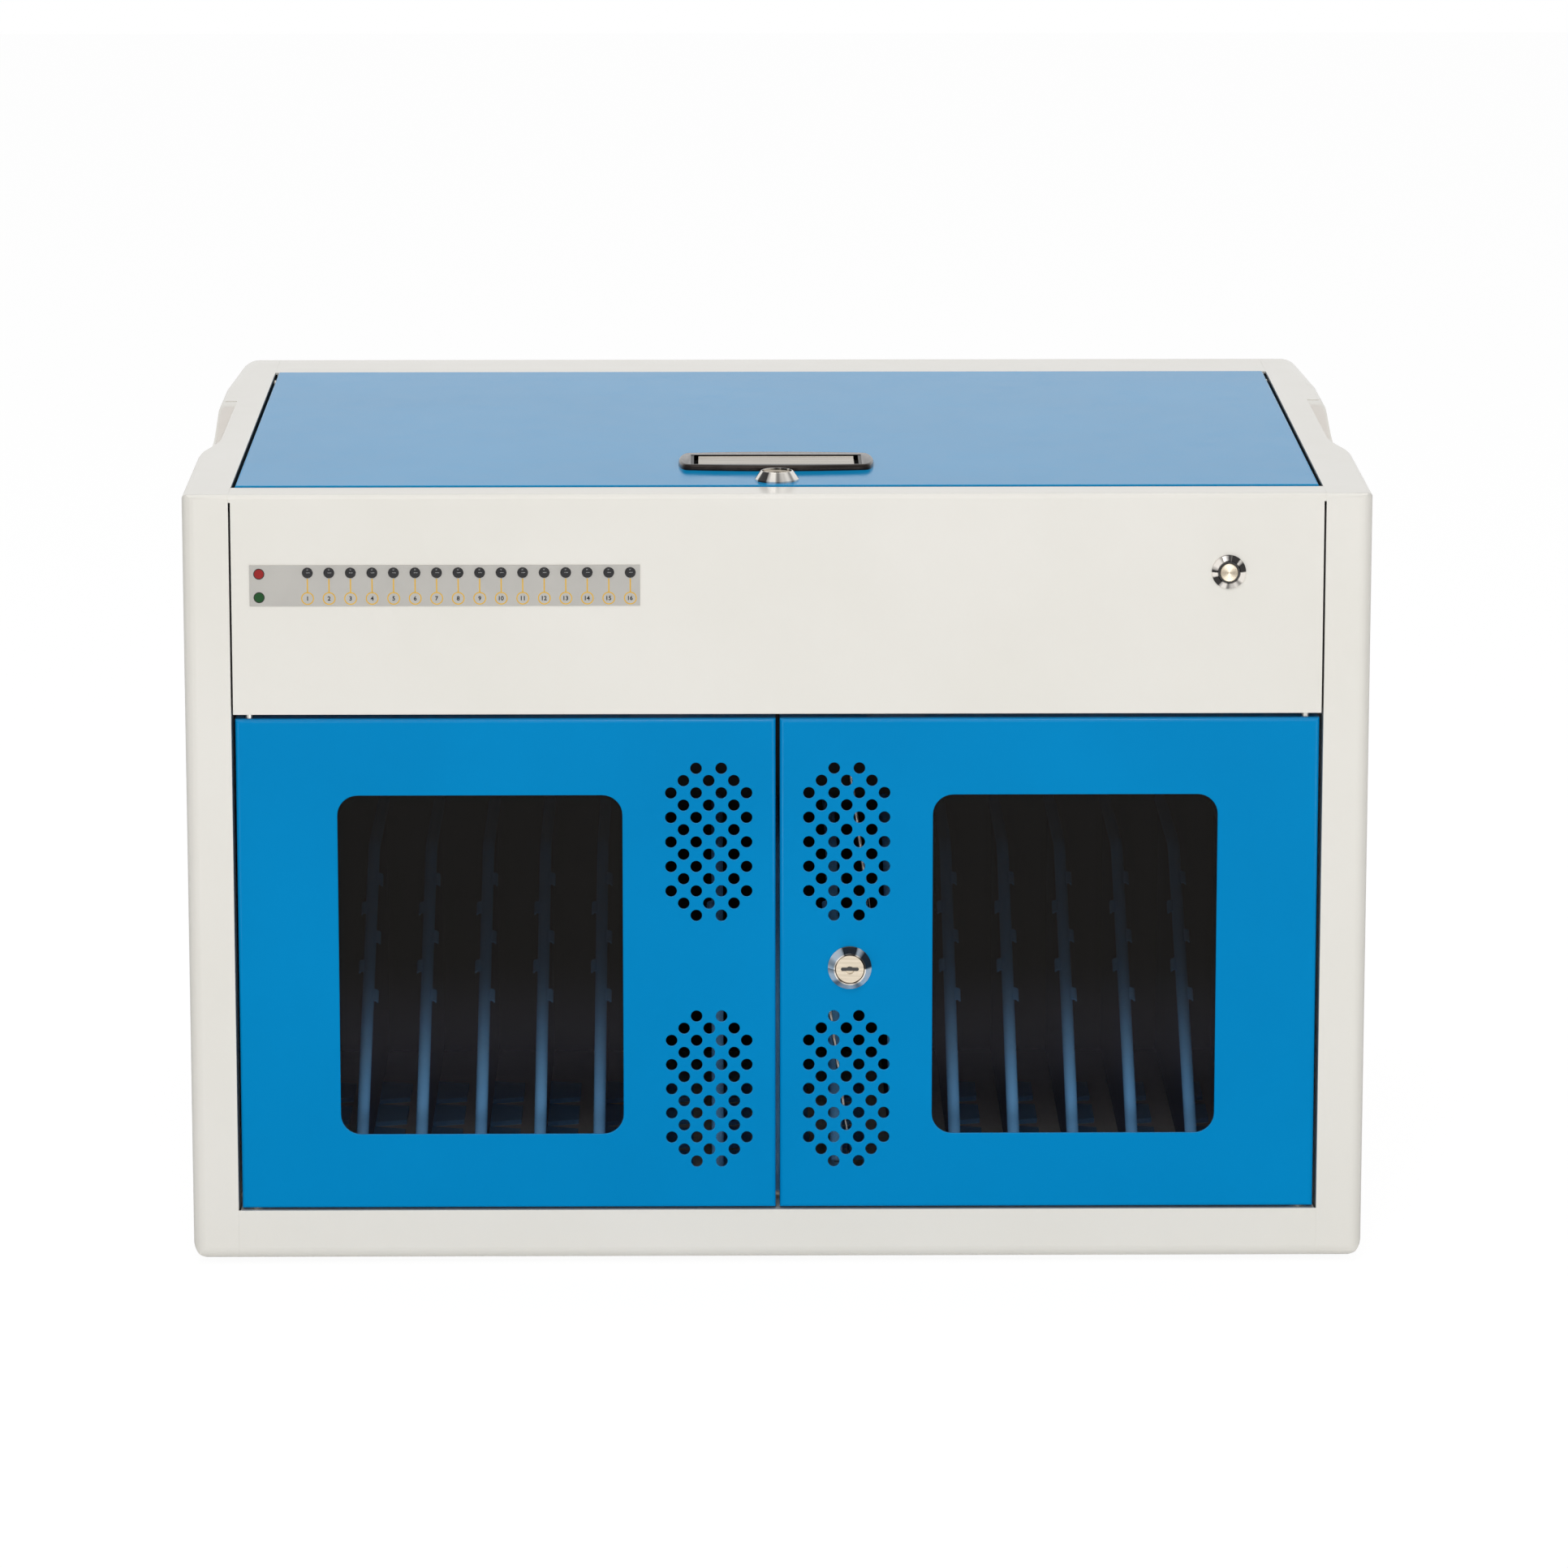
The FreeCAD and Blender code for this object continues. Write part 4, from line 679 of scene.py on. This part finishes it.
def door(node, window, hinge, side, lock_spot=None):
    """A door pan with its window opening, two patches of round vents, hinge-pin holes and lock hole."""
    low, high = limits(node)
    through = GAUGE + 2 * CLEAR
    middle = FRONT + GAUGE / 2
    cutter = bmesh.new()
    for height in VENT_HEIGHTS:
        for row, count in enumerate(VENT_ROWS):
            z = height + VENT_ROW_STEP * (row - (len(VENT_ROWS) - 1) / 2)
            for hole in range(count):
                x = side * VENT_OFFSET + VENT_SPACING * (hole - (count - 1) / 2)
                cylinder(cutter, VENT_RADIUS, through, at(x, middle, z) @ FACING_FRONT)
    pane_low, pane_high = limits(window)
    round_block(cutter, (pane_low.x + PANE_LAP, FRONT - CLEAR, pane_low.z + PANE_LAP),
                (pane_high.x - PANE_LAP, FRONT + GAUGE + CLEAR, pane_high.z - PANE_LAP), 1, WINDOW_RADIUS)
    pivot = Vector(JOINTS[hinge]["pos_m"]) / MM
    cylinder(cutter, PIN_RADIUS, high.z - low.z + 2 * CLEAR, at(pivot.x, pivot.y, (low.z + high.z) / 2))
    if lock_spot:
        cylinder(cutter, LOCK_BARREL, through, at(lock_spot.x, middle, lock_spot.z) @ FACING_FRONT, 32)
    sheet = settle(f"{node}_sheet", carved(pan(low, high), cutter), finish_of(node), node, [node], 30)
    soften(sheet, DOOR_EDGE, 1)


# Locks

LOCK_BEZEL = 11.3
LOCK_FACE = 8.35
LOCK_BORE = 7.65
LOCK_PLUG = 7.5
LOCK_SKIRT = 0.8
LOCK_SHOULDER = 1.1
LOCK_SHOULDER_IN = 0.25
LOCK_CROWN_IN = 0.2
LOCK_CROWN_DROP = 0.12
LOCK_LIP = 0.15
PLUG_EDGE = 0.3
KEYWAY_LENGTH = 9.2
KEYWAY_WIDTH = 1.9
KEYWAY_EYE = 2.1
KEYWAY_DEPTH = 4.0
KEYWAY_SHADE_SINK = 0.7
KEYWAY_ROUND = 0.8
KEYWAY_EYE_DROP = 0.6
KEYWAY_EDGE = 0.12
RING_BRIGHT = tone(236, 230, 222)
RING_DARK = tone(40, 38, 37)


def lock(name, place, ring, proud, body_depth, plug_top, plug_depth):
    """A key lock: a coned bright bezel on a barrel, and the plug with its keyway, darkened by a black block
    down the keyway as painted shade.
    """
    case = bmesh.new()
    spun(case, [(LOCK_BORE, -body_depth), (LOCK_BARREL, -body_depth), (LOCK_BARREL, 0), (LOCK_BEZEL, 0),
                (LOCK_BEZEL, LOCK_SKIRT), (LOCK_BEZEL - LOCK_SHOULDER_IN, LOCK_SHOULDER),
                (LOCK_FACE, proud - LOCK_CROWN_DROP), (LOCK_FACE - LOCK_CROWN_IN, proud),
                (LOCK_BORE + LOCK_LIP, proud), (LOCK_BORE, proud - LOCK_LIP),
                (LOCK_BORE, -body_depth)], place, 96)
    settle(f"{name}_case", case, ring, f"{name}_body", [f"{name}_body"], 20)
    plug = bmesh.new()
    spun(plug, [(0, -plug_depth), (LOCK_PLUG, -plug_depth), (LOCK_PLUG, plug_top - PLUG_EDGE),
                (LOCK_PLUG - PLUG_EDGE, plug_top), (0, plug_top)], place, 64)
    half = Vector((KEYWAY_LENGTH / 2, KEYWAY_WIDTH / 2, 0))
    bottom = Vector((0, 0, plug_top - KEYWAY_DEPTH))
    slot = bmesh.new()
    round_block(slot, bottom - half, half + Vector((0, 0, plug_top + CLEAR)), 2, KEYWAY_ROUND, 4)
    bmesh.ops.transform(slot, matrix=place, verts=slot.verts)
    eye = bmesh.new()
    cylinder(eye, KEYWAY_EYE, KEYWAY_DEPTH, place @ at(0, -KEYWAY_EYE_DROP, plug_top), 28)
    turned = carved(carved(plug, slot), eye)
    soften(settle(f"{name}_core", turned, PLUG_METAL, f"{name}_plug", [f"{name}_plug"]), KEYWAY_EDGE)
    # Painted shade: a black block fills the keyway below a small sink, darkening its depth.
    keyway_shade = bmesh.new()
    round_block(keyway_shade, bottom - half, half + Vector((0, 0, plug_top - KEYWAY_SHADE_SINK)), 2, KEYWAY_ROUND, 4)
    bmesh.ops.transform(keyway_shade, matrix=place, verts=keyway_shade.verts)
    settle(f"{name}_wards", keyway_shade, BLACK_PLASTIC, f"{name}_plug")


def locks():
    """The lock of the right door and the lock of the lid."""
    door_low, door_high = limits("door_lock_body")
    spot = (door_low + door_high) / 2
    plug_low, plug_high = limits("door_lock_plug")
    ring = mirror_ring("door_lock_chrome", RING_BRIGHT, RING_DARK, spot * MM, 0, 2, 1.0)
    lock("door_lock", at(spot.x, FRONT, spot.z) @ FACING_FRONT, ring, FRONT - door_low.y, door_high.y - FRONT,
         FRONT - plug_low.y, plug_high.y - FRONT)
    lid_low, lid_high = limits("lid_lock_body")
    spot = (lid_low + lid_high) / 2
    plug_low, plug_high = limits("lid_lock_plug")
    top = limits("lid_panel")[1].z
    ring = mirror_ring("lid_lock_chrome", RING_BRIGHT, RING_DARK, spot * MM, 0, 1, 1.5)
    lock("lid_lock", at(spot.x, spot.y, top), ring, lid_high.z - top, top - lid_low.z, plug_high.z - top,
         top - plug_low.z)


# Lock rods

ROD_RADIUS = 1.0
ROD_EYE = 3.4
ROD_STRAIGHT = 26.0
ROD_BEND = 6.0
ROD_LAP = 0.4
ROD_EYE_BORE = 2.1


def lock_rod(node, sign):
    """A round rod from the guide in the door's edge, cranked over to its eye on the lock's cam."""
    low, high = limits(node)
    y = (low.y + high.y) / 2
    lock_low, lock_high = limits("door_lock_body")
    guide = (lock_low.x + lock_high.x) / 2
    tip, eye_z = (high.z, low.z + ROD_EYE) if sign > 0 else (low.z, high.z - ROD_EYE)
    eye_x = high.x - ROD_EYE if sign > 0 else low.x + ROD_EYE
    eye = Vector((eye_x, y, eye_z))
    bend = Vector((guide, y, tip - sign * ROD_STRAIGHT))
    toward = (bend - eye).normalized()
    bm = bmesh.new()
    end = eye + toward * (ROD_EYE - ROD_LAP)
    tube(bm, eased([Vector((guide, y, tip)), bend, end], ROD_BEND), ROD_RADIUS)
    spun(bm, ring_profile(ROD_EYE_BORE, ROD_EYE, low.y - y, high.y - y), at(*eye) @ FACING_BACK, 28)
    settle(f"{node}_bar", bm, CHROME, node, [node])


# Switch

SWITCH_BARREL = 7.4
SWITCH_BEZEL = 8.8
SWITCH_FACE = 6.5
SWITCH_BORE = 5.55
SWITCH_FLOOR = -8.4
SWITCH_SKIRT = 0.8
SWITCH_SHOULDER = 1.2
SWITCH_SHOULDER_IN = 0.2
SWITCH_CROWN_IN = 0.3
SWITCH_CROWN_DROP = 0.15
SWITCH_LIP = 0.35
SWITCH_LIP_DROPS = (0.1, 0.8)
SEAT_BORE = 4.8
SEAT_OUTER = 5.5
SEAT_SINK = 1.0
CAP_RADIUS = 4.65
CAP_FACE = 4.3
CAP_EDGE = 0.4


def power_switch():
    """A polished ring with a sloped face, a black seat and a turned metal button."""
    low, high = limits("switch_body")
    centre = (low + high) / 2
    place = at(centre.x, FRONT, centre.z) @ FACING_FRONT
    proud = FRONT - low.y
    depth = high.y - FRONT
    case = bmesh.new()
    lip_top, lip_low = (proud - drop for drop in SWITCH_LIP_DROPS)
    spun(case, [(0, -depth), (SWITCH_BARREL, -depth), (SWITCH_BARREL, 0), (SWITCH_BEZEL, 0),
                (SWITCH_BEZEL, SWITCH_SKIRT), (SWITCH_BEZEL - SWITCH_SHOULDER_IN, SWITCH_SHOULDER),
                (SWITCH_FACE, proud - SWITCH_CROWN_DROP), (SWITCH_FACE - SWITCH_CROWN_IN, proud),
                (SWITCH_BORE + SWITCH_LIP, lip_top), (SWITCH_BORE, lip_low),
                (SWITCH_BORE, SWITCH_FLOOR), (0, SWITCH_FLOOR)], place, 96)
    ring = mirror_ring("switch_chrome", RING_BRIGHT, RING_DARK, centre * MM, 0, 2, 1.4)
    settle("switch_case", case, ring, "switch_body", ["switch_body"], 20)
    seat = bmesh.new()
    spun(seat, ring_profile(SEAT_BORE, SEAT_OUTER, -SEAT_SINK, proud - SEAT_SINK), place)
    settle("switch_seat", seat, BLACK_PLASTIC, "switch_body")
    button_low, button_high = limits("power_button")
    top = FRONT - button_low.y
    back = FRONT - button_high.y
    cap = bmesh.new()
    profile = [(0, back), (CAP_RADIUS, back), (CAP_RADIUS, top - CAP_EDGE), (CAP_FACE, top), (0, top)]
    spun(cap, profile, place, 64)
    cap_metal = turned_metal("turned_cap", tone(196, 186, 168), tone(104, 96, 84), 0.28, centre * MM)
    settle("button_cap", cap, cap_metal, "power_button", ["power_button"])


# Status strip

PORTS = 16
LAMP_RADIUS = 2.8
PRINT_LIFT = 0.05
LINE_WIDTH = 0.65
LINE_TOP = 364.1
LINE_LOW = 357.1
RING_HEIGHT = 353.9
RING_OUTER = 3.3
RING_INNER = 2.75
NUMERAL_HEIGHT = 2.3
NUMERAL_BODY = 0.01
NUMERAL_WEIGHT = 0.025
DOT_X = -265.6
DOT_HEIGHTS = (366.6, 354.4)
DOT_RADIUS = 2.85
DOT_INK = 2.4
SLOT_END_LAP = 2.0
SLOT_END_REACH = 4.0
SLOT_END_ROUND = 0.4


def numeral(bm, text, height, place):
    """Adds one plain number, centred on its place and made mesh."""
    curve = bpy.data.curves.new("numeral", "FONT")
    curve.body = text
    curve.extrude = NUMERAL_BODY
    curve.offset = NUMERAL_WEIGHT
    item = bpy.data.objects.new("numeral", curve)
    others = set(bm.verts)
    bm.from_mesh(item.to_mesh())
    added = [vert for vert in bm.verts if vert not in others]
    bpy.data.objects.remove(item)
    bpy.data.curves.remove(curve)
    low = Vector(min(vert.co[axis] for vert in added) for axis in range(3))
    high = Vector(max(vert.co[axis] for vert in added) for axis in range(3))
    scale = height * MM / (high.y - low.y)
    fit = Matrix.Diagonal((scale, scale, scale, 1)) @ Matrix.Translation(-(low + high) / 2)
    bmesh.ops.transform(bm, matrix=place @ fit, verts=added)


def lamp_slot_end():
    """Closes the end of the fascia's lamp slot just past the film."""
    low, high = limits("status_lamps")
    edge = limits("legend_strip")[1].x
    bm = bmesh.new()
    round_block(bm, (edge - SLOT_END_LAP, FRONT + PRINT_LIFT, low.z - SLOT_END_LAP),
                (edge + SLOT_END_REACH, FRONT + GAUGE, high.z + SLOT_END_LAP), 1, SLOT_END_ROUND, 2)
    settle("lamp_slot_end", bm, WHITE_PAINT, "front_fascia")


def status_strip():
    """Sixteen lamp domes, each joined by a printed line to a ring with its slot number, and two key dots."""
    film = limits("legend_strip")[0].y
    low, high = limits("status_lamps")
    lamps, lines, numbers = bmesh.new(), bmesh.new(), bmesh.new()
    dome = dome_profile(LAMP_RADIUS, film - low.y)
    first = low.x + LAMP_RADIUS
    step = (high.x - low.x - 2 * LAMP_RADIUS) / (PORTS - 1)
    for port in range(PORTS):
        x = first + port * step
        spun(lamps, dome, at(x, film, (low.z + high.z) / 2) @ FACING_FRONT, 28)
        block(lines, (x - LINE_WIDTH / 2, film - PRINT_LIFT, LINE_LOW), (x + LINE_WIDTH / 2, film, LINE_TOP))
        ring = at(x, film, RING_HEIGHT) @ FACING_FRONT
        spun(lines, ring_profile(RING_INNER, RING_OUTER, 0, PRINT_LIFT), ring, 36)
        numeral(numbers, str(port + 1), NUMERAL_HEIGHT, ring @ at(0, 0, PRINT_LIFT))
    lamp_slot_end()
    settle("lamp_domes", lamps, LENS, "status_lamps", ["status_lamps"])
    settle("printed_lines", lines, ORANGE_INK, "legend_strip")
    settle("slot_numbers", numbers, BLACK_INK, "legend_strip")
    outlines = bmesh.new()
    for height, colour, name in zip(DOT_HEIGHTS, (RED_INK, GREEN_INK), ("red_dot", "green_dot")):
        place = at(DOT_X, film, height) @ FACING_FRONT
        spun(outlines, ring_profile(DOT_INK, DOT_RADIUS, 0, PRINT_LIFT), place, 36)
        dot = bmesh.new()
        spun(dot, [(0, 0), (DOT_INK, 0), (DOT_INK, PRINT_LIFT), (0, PRINT_LIFT)], place, 36)
        settle(name, dot, colour, "legend_strip")
    settle("dot_outlines", outlines, BLACK_INK, "legend_strip")


# Lid handle

HANDLE_FRONT_REACH = 7.0
HANDLE_BACK_REACH = 6.0
HANDLE_BULGE = 4.5
HANDLE_END = 4.5
HANDLE_WALL = 1.6
HANDLE_EDGE = 1.5
CUP_LAP = 0.5
MOUTH_GAP = 0.3
LINING_SINK = 0.3
FLAP_REACH = 7.0
FLAP_END = 8.0
FLAP_END_GAP = 2.3
FLAP_REAR_GAP = 0.9
FLAP_PIN = 1.1
FLAP_SINK = 0.7
FLAP_THICKNESS = 2.0
FLAP_EDGE = 0.3
LID_EDGE = 0.3
LID_TOP = limits("lid_panel")[1].z
BEZEL_LOW, BEZEL_HIGH = limits("handle_bezel")
FLAP_LOW, FLAP_HIGH = limits("handle_flap")
MOUTH_LOW = Vector((BEZEL_LOW.x + FLAP_END, FLAP_LOW.y - FLAP_REACH - MOUTH_GAP, BEZEL_LOW.z + HANDLE_WALL))
MOUTH_HIGH = Vector((BEZEL_HIGH.x - FLAP_END, FLAP_HIGH.y + MOUTH_GAP, BEZEL_HIGH.z + CLEAR))
CUP_WALL = Vector((HANDLE_WALL, HANDLE_WALL, HANDLE_WALL))
LINING = Vector((HANDLE_WALL, 0, 0))


def handle_outline(half, front, back):
    """A lens with bowed long sides and rounded ends, as points round it."""
    middle = (front + back) / 2
    turns = [math.radians(5 * step) for step in range(37)]
    spans = [half * math.cos(turn) for turn in turns]

    def reach(x):
        bow = (back - front) / 2 - HANDLE_BULGE * (x / half) ** 2
        end = max(0.0, (abs(x) - half + HANDLE_END) / HANDLE_END)
        return bow * math.sqrt(1 - min(end, 1.0) ** 2)

    rear = [Vector((x, middle + reach(x), 0)) for x in spans]
    near = [Vector((x, middle - reach(x), 0)) for x in reversed(spans[1:-1])]
    return rear + near


def handle_bezel():
    """The cast bezel: a bowed plate on the lid with the mouth cut through it."""
    lift = Vector((0, 0, LID_TOP))
    front, back = BEZEL_LOW.y - HANDLE_FRONT_REACH, BEZEL_HIGH.y + HANDLE_BACK_REACH
    bezel, mouth = bmesh.new(), bmesh.new()
    outline = [point + lift for point in handle_outline(BEZEL_HIGH.x, front, back)]
    prism(bezel, outline, Vector((0, 0, BEZEL_HIGH.z - LID_TOP)))
    near_top = (BEZEL_HIGH.z - SEAM_EDGE) * MM
    face = [edge for edge in bezel.edges if all(vert.co.z > near_top for vert in edge.verts)]
    round_off(bezel, face, HANDLE_EDGE, 4)
    block(mouth, MOUTH_LOW - LINING, MOUTH_HIGH + LINING)
    settle("bezel_plate", carved(bezel, mouth), DARK_NICKEL, "handle_bezel", ["handle_bezel"])


def handle_cup():
    """The black cup below the mouth, and the lining of the mouth's two ends."""
    cup, hollow = bmesh.new(), bmesh.new()
    block(cup, MOUTH_LOW - CUP_WALL,
          (MOUTH_HIGH.x + HANDLE_WALL, MOUTH_HIGH.y + HANDLE_WALL, LID_TOP + CUP_LAP))
    block(hollow, MOUTH_LOW, MOUTH_HIGH)
    lined = carved(cup, hollow)
    lip = BEZEL_HIGH.z - LINING_SINK
    block(lined, MOUTH_LOW - LINING, (MOUTH_LOW.x, MOUTH_HIGH.y, lip))
    block(lined, (MOUTH_HIGH.x, MOUTH_LOW.y, MOUTH_LOW.z), (MOUTH_HIGH.x + HANDLE_WALL, MOUTH_HIGH.y, lip))
    settle("bezel_cup", lined, BLACK_PLASTIC, "handle_bezel")


def lid_sheet():
    """The lid, opened for the handle's cup."""
    opening = bmesh.new()
    block(opening, MOUTH_LOW - CUP_WALL, MOUTH_HIGH + CUP_WALL)
    sheet = carved(merged_copy("lid_panel"), opening)
    soften(settle("lid_sheet", sheet, LID_PAINT, "lid_panel", ["lid_panel"]), LID_EDGE)


def handle_flap():
    """The sprung flap, a flat leaf on a pin along its back."""
    pivot = Vector(JOINTS["handle_flap_hinge"]["pos_m"]) / MM
    half = MOUTH_HIGH.x - FLAP_END_GAP
    face = BEZEL_HIGH.z - FLAP_SINK
    leaf = bmesh.new()
    block(leaf, (-half, FLAP_LOW.y - FLAP_REACH, face - FLAP_THICKNESS),
          (half, FLAP_HIGH.y - FLAP_REAR_GAP, face))
    cylinder(leaf, FLAP_PIN, 2 * half, at(0, pivot.y, pivot.z) @ FACING_SIDE, 16)
    soften(settle("flap_leaf", leaf, NICKEL, "handle_flap", ["handle_flap"]), FLAP_EDGE)


# Dividers

BEAD = 6.5
BEAD_BEND = 9.0
WEB = 2.4
FRONT_HEIGHT = 19.0
SLOPE_LENGTH = 183.0
HOOKS = 5
HOOK_FIRST = 110.0
HOOK_STEP = 21.0
HOOK_LENGTH = 8.0
HOOK_REACH = 4.2
HOOK_PROUD = 2.4
HOOK_RADIUS = 2.3
HOOK_WALL = 0.9
CLIP_ROWS = 4
CLIP_LENGTH = 42.0
CLIP_STEP = 50.0
CLIP_FIRST = 36.0
CLIP_REACH = 18.0
CLIP_TAPER = 6.0
CLIP_THICKNESS = 2.5


def divider(node):
    """A web with a round bead along its rim, half-pipe cable hooks up the slope and floor clips."""
    low, high = limits(node)
    shift = Vector((low.x + BEAD / 2 + HOOK_REACH, 0, 0)) * MM
    bm, web = bmesh.new(), bmesh.new()
    inset = BEAD / 2
    foot = Vector((0, low.y, low.z + FRONT_HEIGHT))
    run = (Vector((0, low.y + SLOPE_LENGTH, high.z)) - foot).normalized()
    out = Vector((0, -run.z, run.y))
    seat = foot - out * inset
    lower = seat + run * ((low.y + inset - seat.y) / run.y)
    upper = seat + run * ((high.z - inset - seat.z) / run.z)
    rim = [Vector((0, low.y + inset, low.z)), lower, upper, Vector((0, high.y, high.z - inset))]
    tube(bm, eased(rim, BEAD_BEND), inset)
    half_web = Vector((WEB / 2, 0, 0))
    prism(web, [point - half_web for point in [*rim, Vector((0, high.y, low.z))]], 2 * half_web)
    turns = [math.radians(18 * step) for step in range(11)]
    section = [(HOOK_RADIUS, turn) for turn in turns]
    section += [(HOOK_RADIUS - HOOK_WALL, turn) for turn in reversed(turns)]
    for index in range(HOOKS):
        side = Vector((1 if index % 2 == 0 else -1, 0, 0))
        middle = seat + run * (HOOK_FIRST + HOOK_STEP * index) + side * (inset + HOOK_PROUD - HOOK_RADIUS)
        prism(bm, [middle + side * radius * math.cos(turn) + out * radius * math.sin(turn)
                   for radius, turn in section], run * HOOK_LENGTH)
    plan = [(0, 0), (CLIP_REACH, CLIP_TAPER), (CLIP_REACH, CLIP_LENGTH - CLIP_TAPER), (0, CLIP_LENGTH)]
    for row in range(CLIP_ROWS):
        y = low.y + CLIP_FIRST + CLIP_STEP * row
        prism(bm, [Vector((x, y + along, low.z)) for x, along in plan], Vector((0, 0, CLIP_THICKNESS)))
    for name, part, plastic in (("moulding", bm, DIVIDER_BLUE), ("web", web, WEB_BLUE)):
        bmesh.ops.translate(part, vec=shift, verts=part.verts)
        settle(f"{node}_{name}", part, plastic, node, [node])


# Rear screws

SCREW_RADIUS = 3.4
SCREW_HEAD = 1.3
SCREW_INSET = 8.0
SCREW_SLOT_LENGTH = 3.6
SCREW_SLOT_WIDTH = 0.7
SCREW_SLOT_FLOOR = 0.5


def rear_screws():
    """Round-head slotted screws at the corners of the vent panel."""
    low, high = limits("rear_vent_panel")
    half_length, half_width = SCREW_SLOT_LENGTH / 2, SCREW_SLOT_WIDTH / 2
    heads, slots = bmesh.new(), bmesh.new()
    dome = dome_profile(SCREW_RADIUS, SCREW_HEAD)
    for x in (low.x + SCREW_INSET, high.x - SCREW_INSET):
        for z in (low.z + SCREW_INSET, high.z - SCREW_INSET):
            spun(heads, dome, at(x, high.y, z) @ FACING_BACK, 24)
            block(slots, (x - half_length, high.y + SCREW_SLOT_FLOOR, z - half_width),
                  (x + half_length, high.y + 2 * SCREW_HEAD, z + half_width))
    settle("vent_panel_screws", carved(heads, slots), ZINC, "rear_vent_panel")


# Finish every node, then build the pieces

FITTING_EDGE = 0.3
CASE_EDGE = 0.4

for node, item in frame["nodes"].items():
    item.data.materials.clear()
    item.data.materials.append(finish_of(node))

sides()
for node in ("front_fascia", "base_pan", "rear_panel"):
    dressed(node, SEAM_EDGE)
for node in ("rear_vent_panel", "rubber_feet", "mains_inlet"):
    dressed(node, FITTING_EDGE)
for node in ("charging_hub", "power_module", "compartment_shelf", "lid_rails", "lamp_board"):
    dressed(node, CASE_EDGE)

lock_low, lock_high = limits("door_lock_body")
door("left_door_panel", "left_window", "left_door_hinge", -1)
door("right_door_panel", "right_window", "right_door_hinge", 1, (lock_low + lock_high) / 2)
locks()
lock_rod("upper_lock_rod", 1)
lock_rod("lower_lock_rod", -1)
power_switch()
status_strip()
handle_bezel()
handle_cup()
lid_sheet()
handle_flap()
for node in sorted(frame["nodes"]):
    if node.startswith("divider_"):
        divider(node)
rear_screws()


# Studio

CAMERA_PLACE = (-0.0332, -3.9243, 1.0237)
CAMERA_PITCH = -11.75
CAMERA_YAW = 0.566
FOCAL_PIXELS = 9010.4
IMAGE_PIXELS = 1932
SENSOR = 36.0


def camera():
    """The camera that was fitted to the picture's edges."""
    lens = bpy.data.cameras.new("photo_camera")
    lens.sensor_width = SENSOR
    lens.lens = SENSOR * FOCAL_PIXELS / IMAGE_PIXELS
    lens.clip_end = 50
    item = bpy.data.objects.new("photo_camera", lens)
    item.location = CAMERA_PLACE
    item.rotation_euler = (math.radians(90 + CAMERA_PITCH), 0, math.radians(-CAMERA_YAW))
    bpy.context.scene.collection.objects.link(item)
    bpy.context.scene.camera = item


def lamp(name, place, target, size, power):
    """A soft box that looks at a target."""
    light = bpy.data.lights.new(name, "AREA")
    light.shape = "RECTANGLE"
    light.size, light.size_y = size
    light.energy = power
    item = bpy.data.objects.new(name, light)
    item.location = place
    item.rotation_euler = (Vector(target) - Vector(place)).to_track_quat("-Z", "Y").to_euler()
    bpy.context.scene.collection.objects.link(item)


def world(level):
    """White where it is seen, and a plain even light of another level elsewhere."""
    sky = bpy.data.worlds.new("studio")
    bpy.context.scene.world = sky
    sky.use_nodes = True
    nodes = Nodes(sky.node_tree)
    light = nodes.node("ShaderNodeBackground", {}, {"Color": (1, 1, 1, 1), "Strength": level})
    white = nodes.node("ShaderNodeBackground", {}, {"Color": (1, 1, 1, 1), "Strength": 1.0})
    mix = nodes.node("ShaderNodeMixShader", {}, {0: nodes.seen_directly(), 1: light, 2: white})
    nodes.fill(sky.node_tree.nodes["World Output"].inputs[0], mix)


def floor():
    """A pale floor that reads as white where it is seen and still takes the object's shadow."""
    bm = bmesh.new()
    bmesh.ops.create_grid(bm, x_segments=1, y_segments=1, size=6.0)
    mesh = bpy.data.meshes.new("studio_floor")
    bm.to_mesh(mesh)
    bm.free()
    finish = Finish("studio_floor", 0.9)
    finish.set("Base Color", finish.blend(finish.noise(2.0), (0.9, 0.9, 0.9, 1), (0.88, 0.88, 0.88, 1)))
    glow = finish.node("ShaderNodeEmission", {}, {"Strength": 1.05})
    plain = Value(finish, finish.shader.outputs[0])
    mix = finish.node("ShaderNodeMixShader", {}, {0: finish.seen_directly() * 0.9, 1: plain, 2: glow})
    finish.fill(finish.tree.nodes["Material Output"].inputs[0], mix)
    mesh.materials.append(finish.material)
    item = bpy.data.objects.new("studio_floor", mesh)
    bpy.context.scene.collection.objects.link(item)


camera()
world(0.4)
floor()
lamp("key", (-0.3, -2.9, 2.9), (0, 0, 0.2), (1.4, 1.2), 34)
lamp("fill", (0.3, -3.4, 0.15), (0, 0, 0.05), (3.0, 0.5), 41)
lamp("top", (0, 0.2, 2.6), (0, 0, 0.3), (2.0, 1.6), 17)
bpy.context.scene.view_settings.view_transform = "Standard"
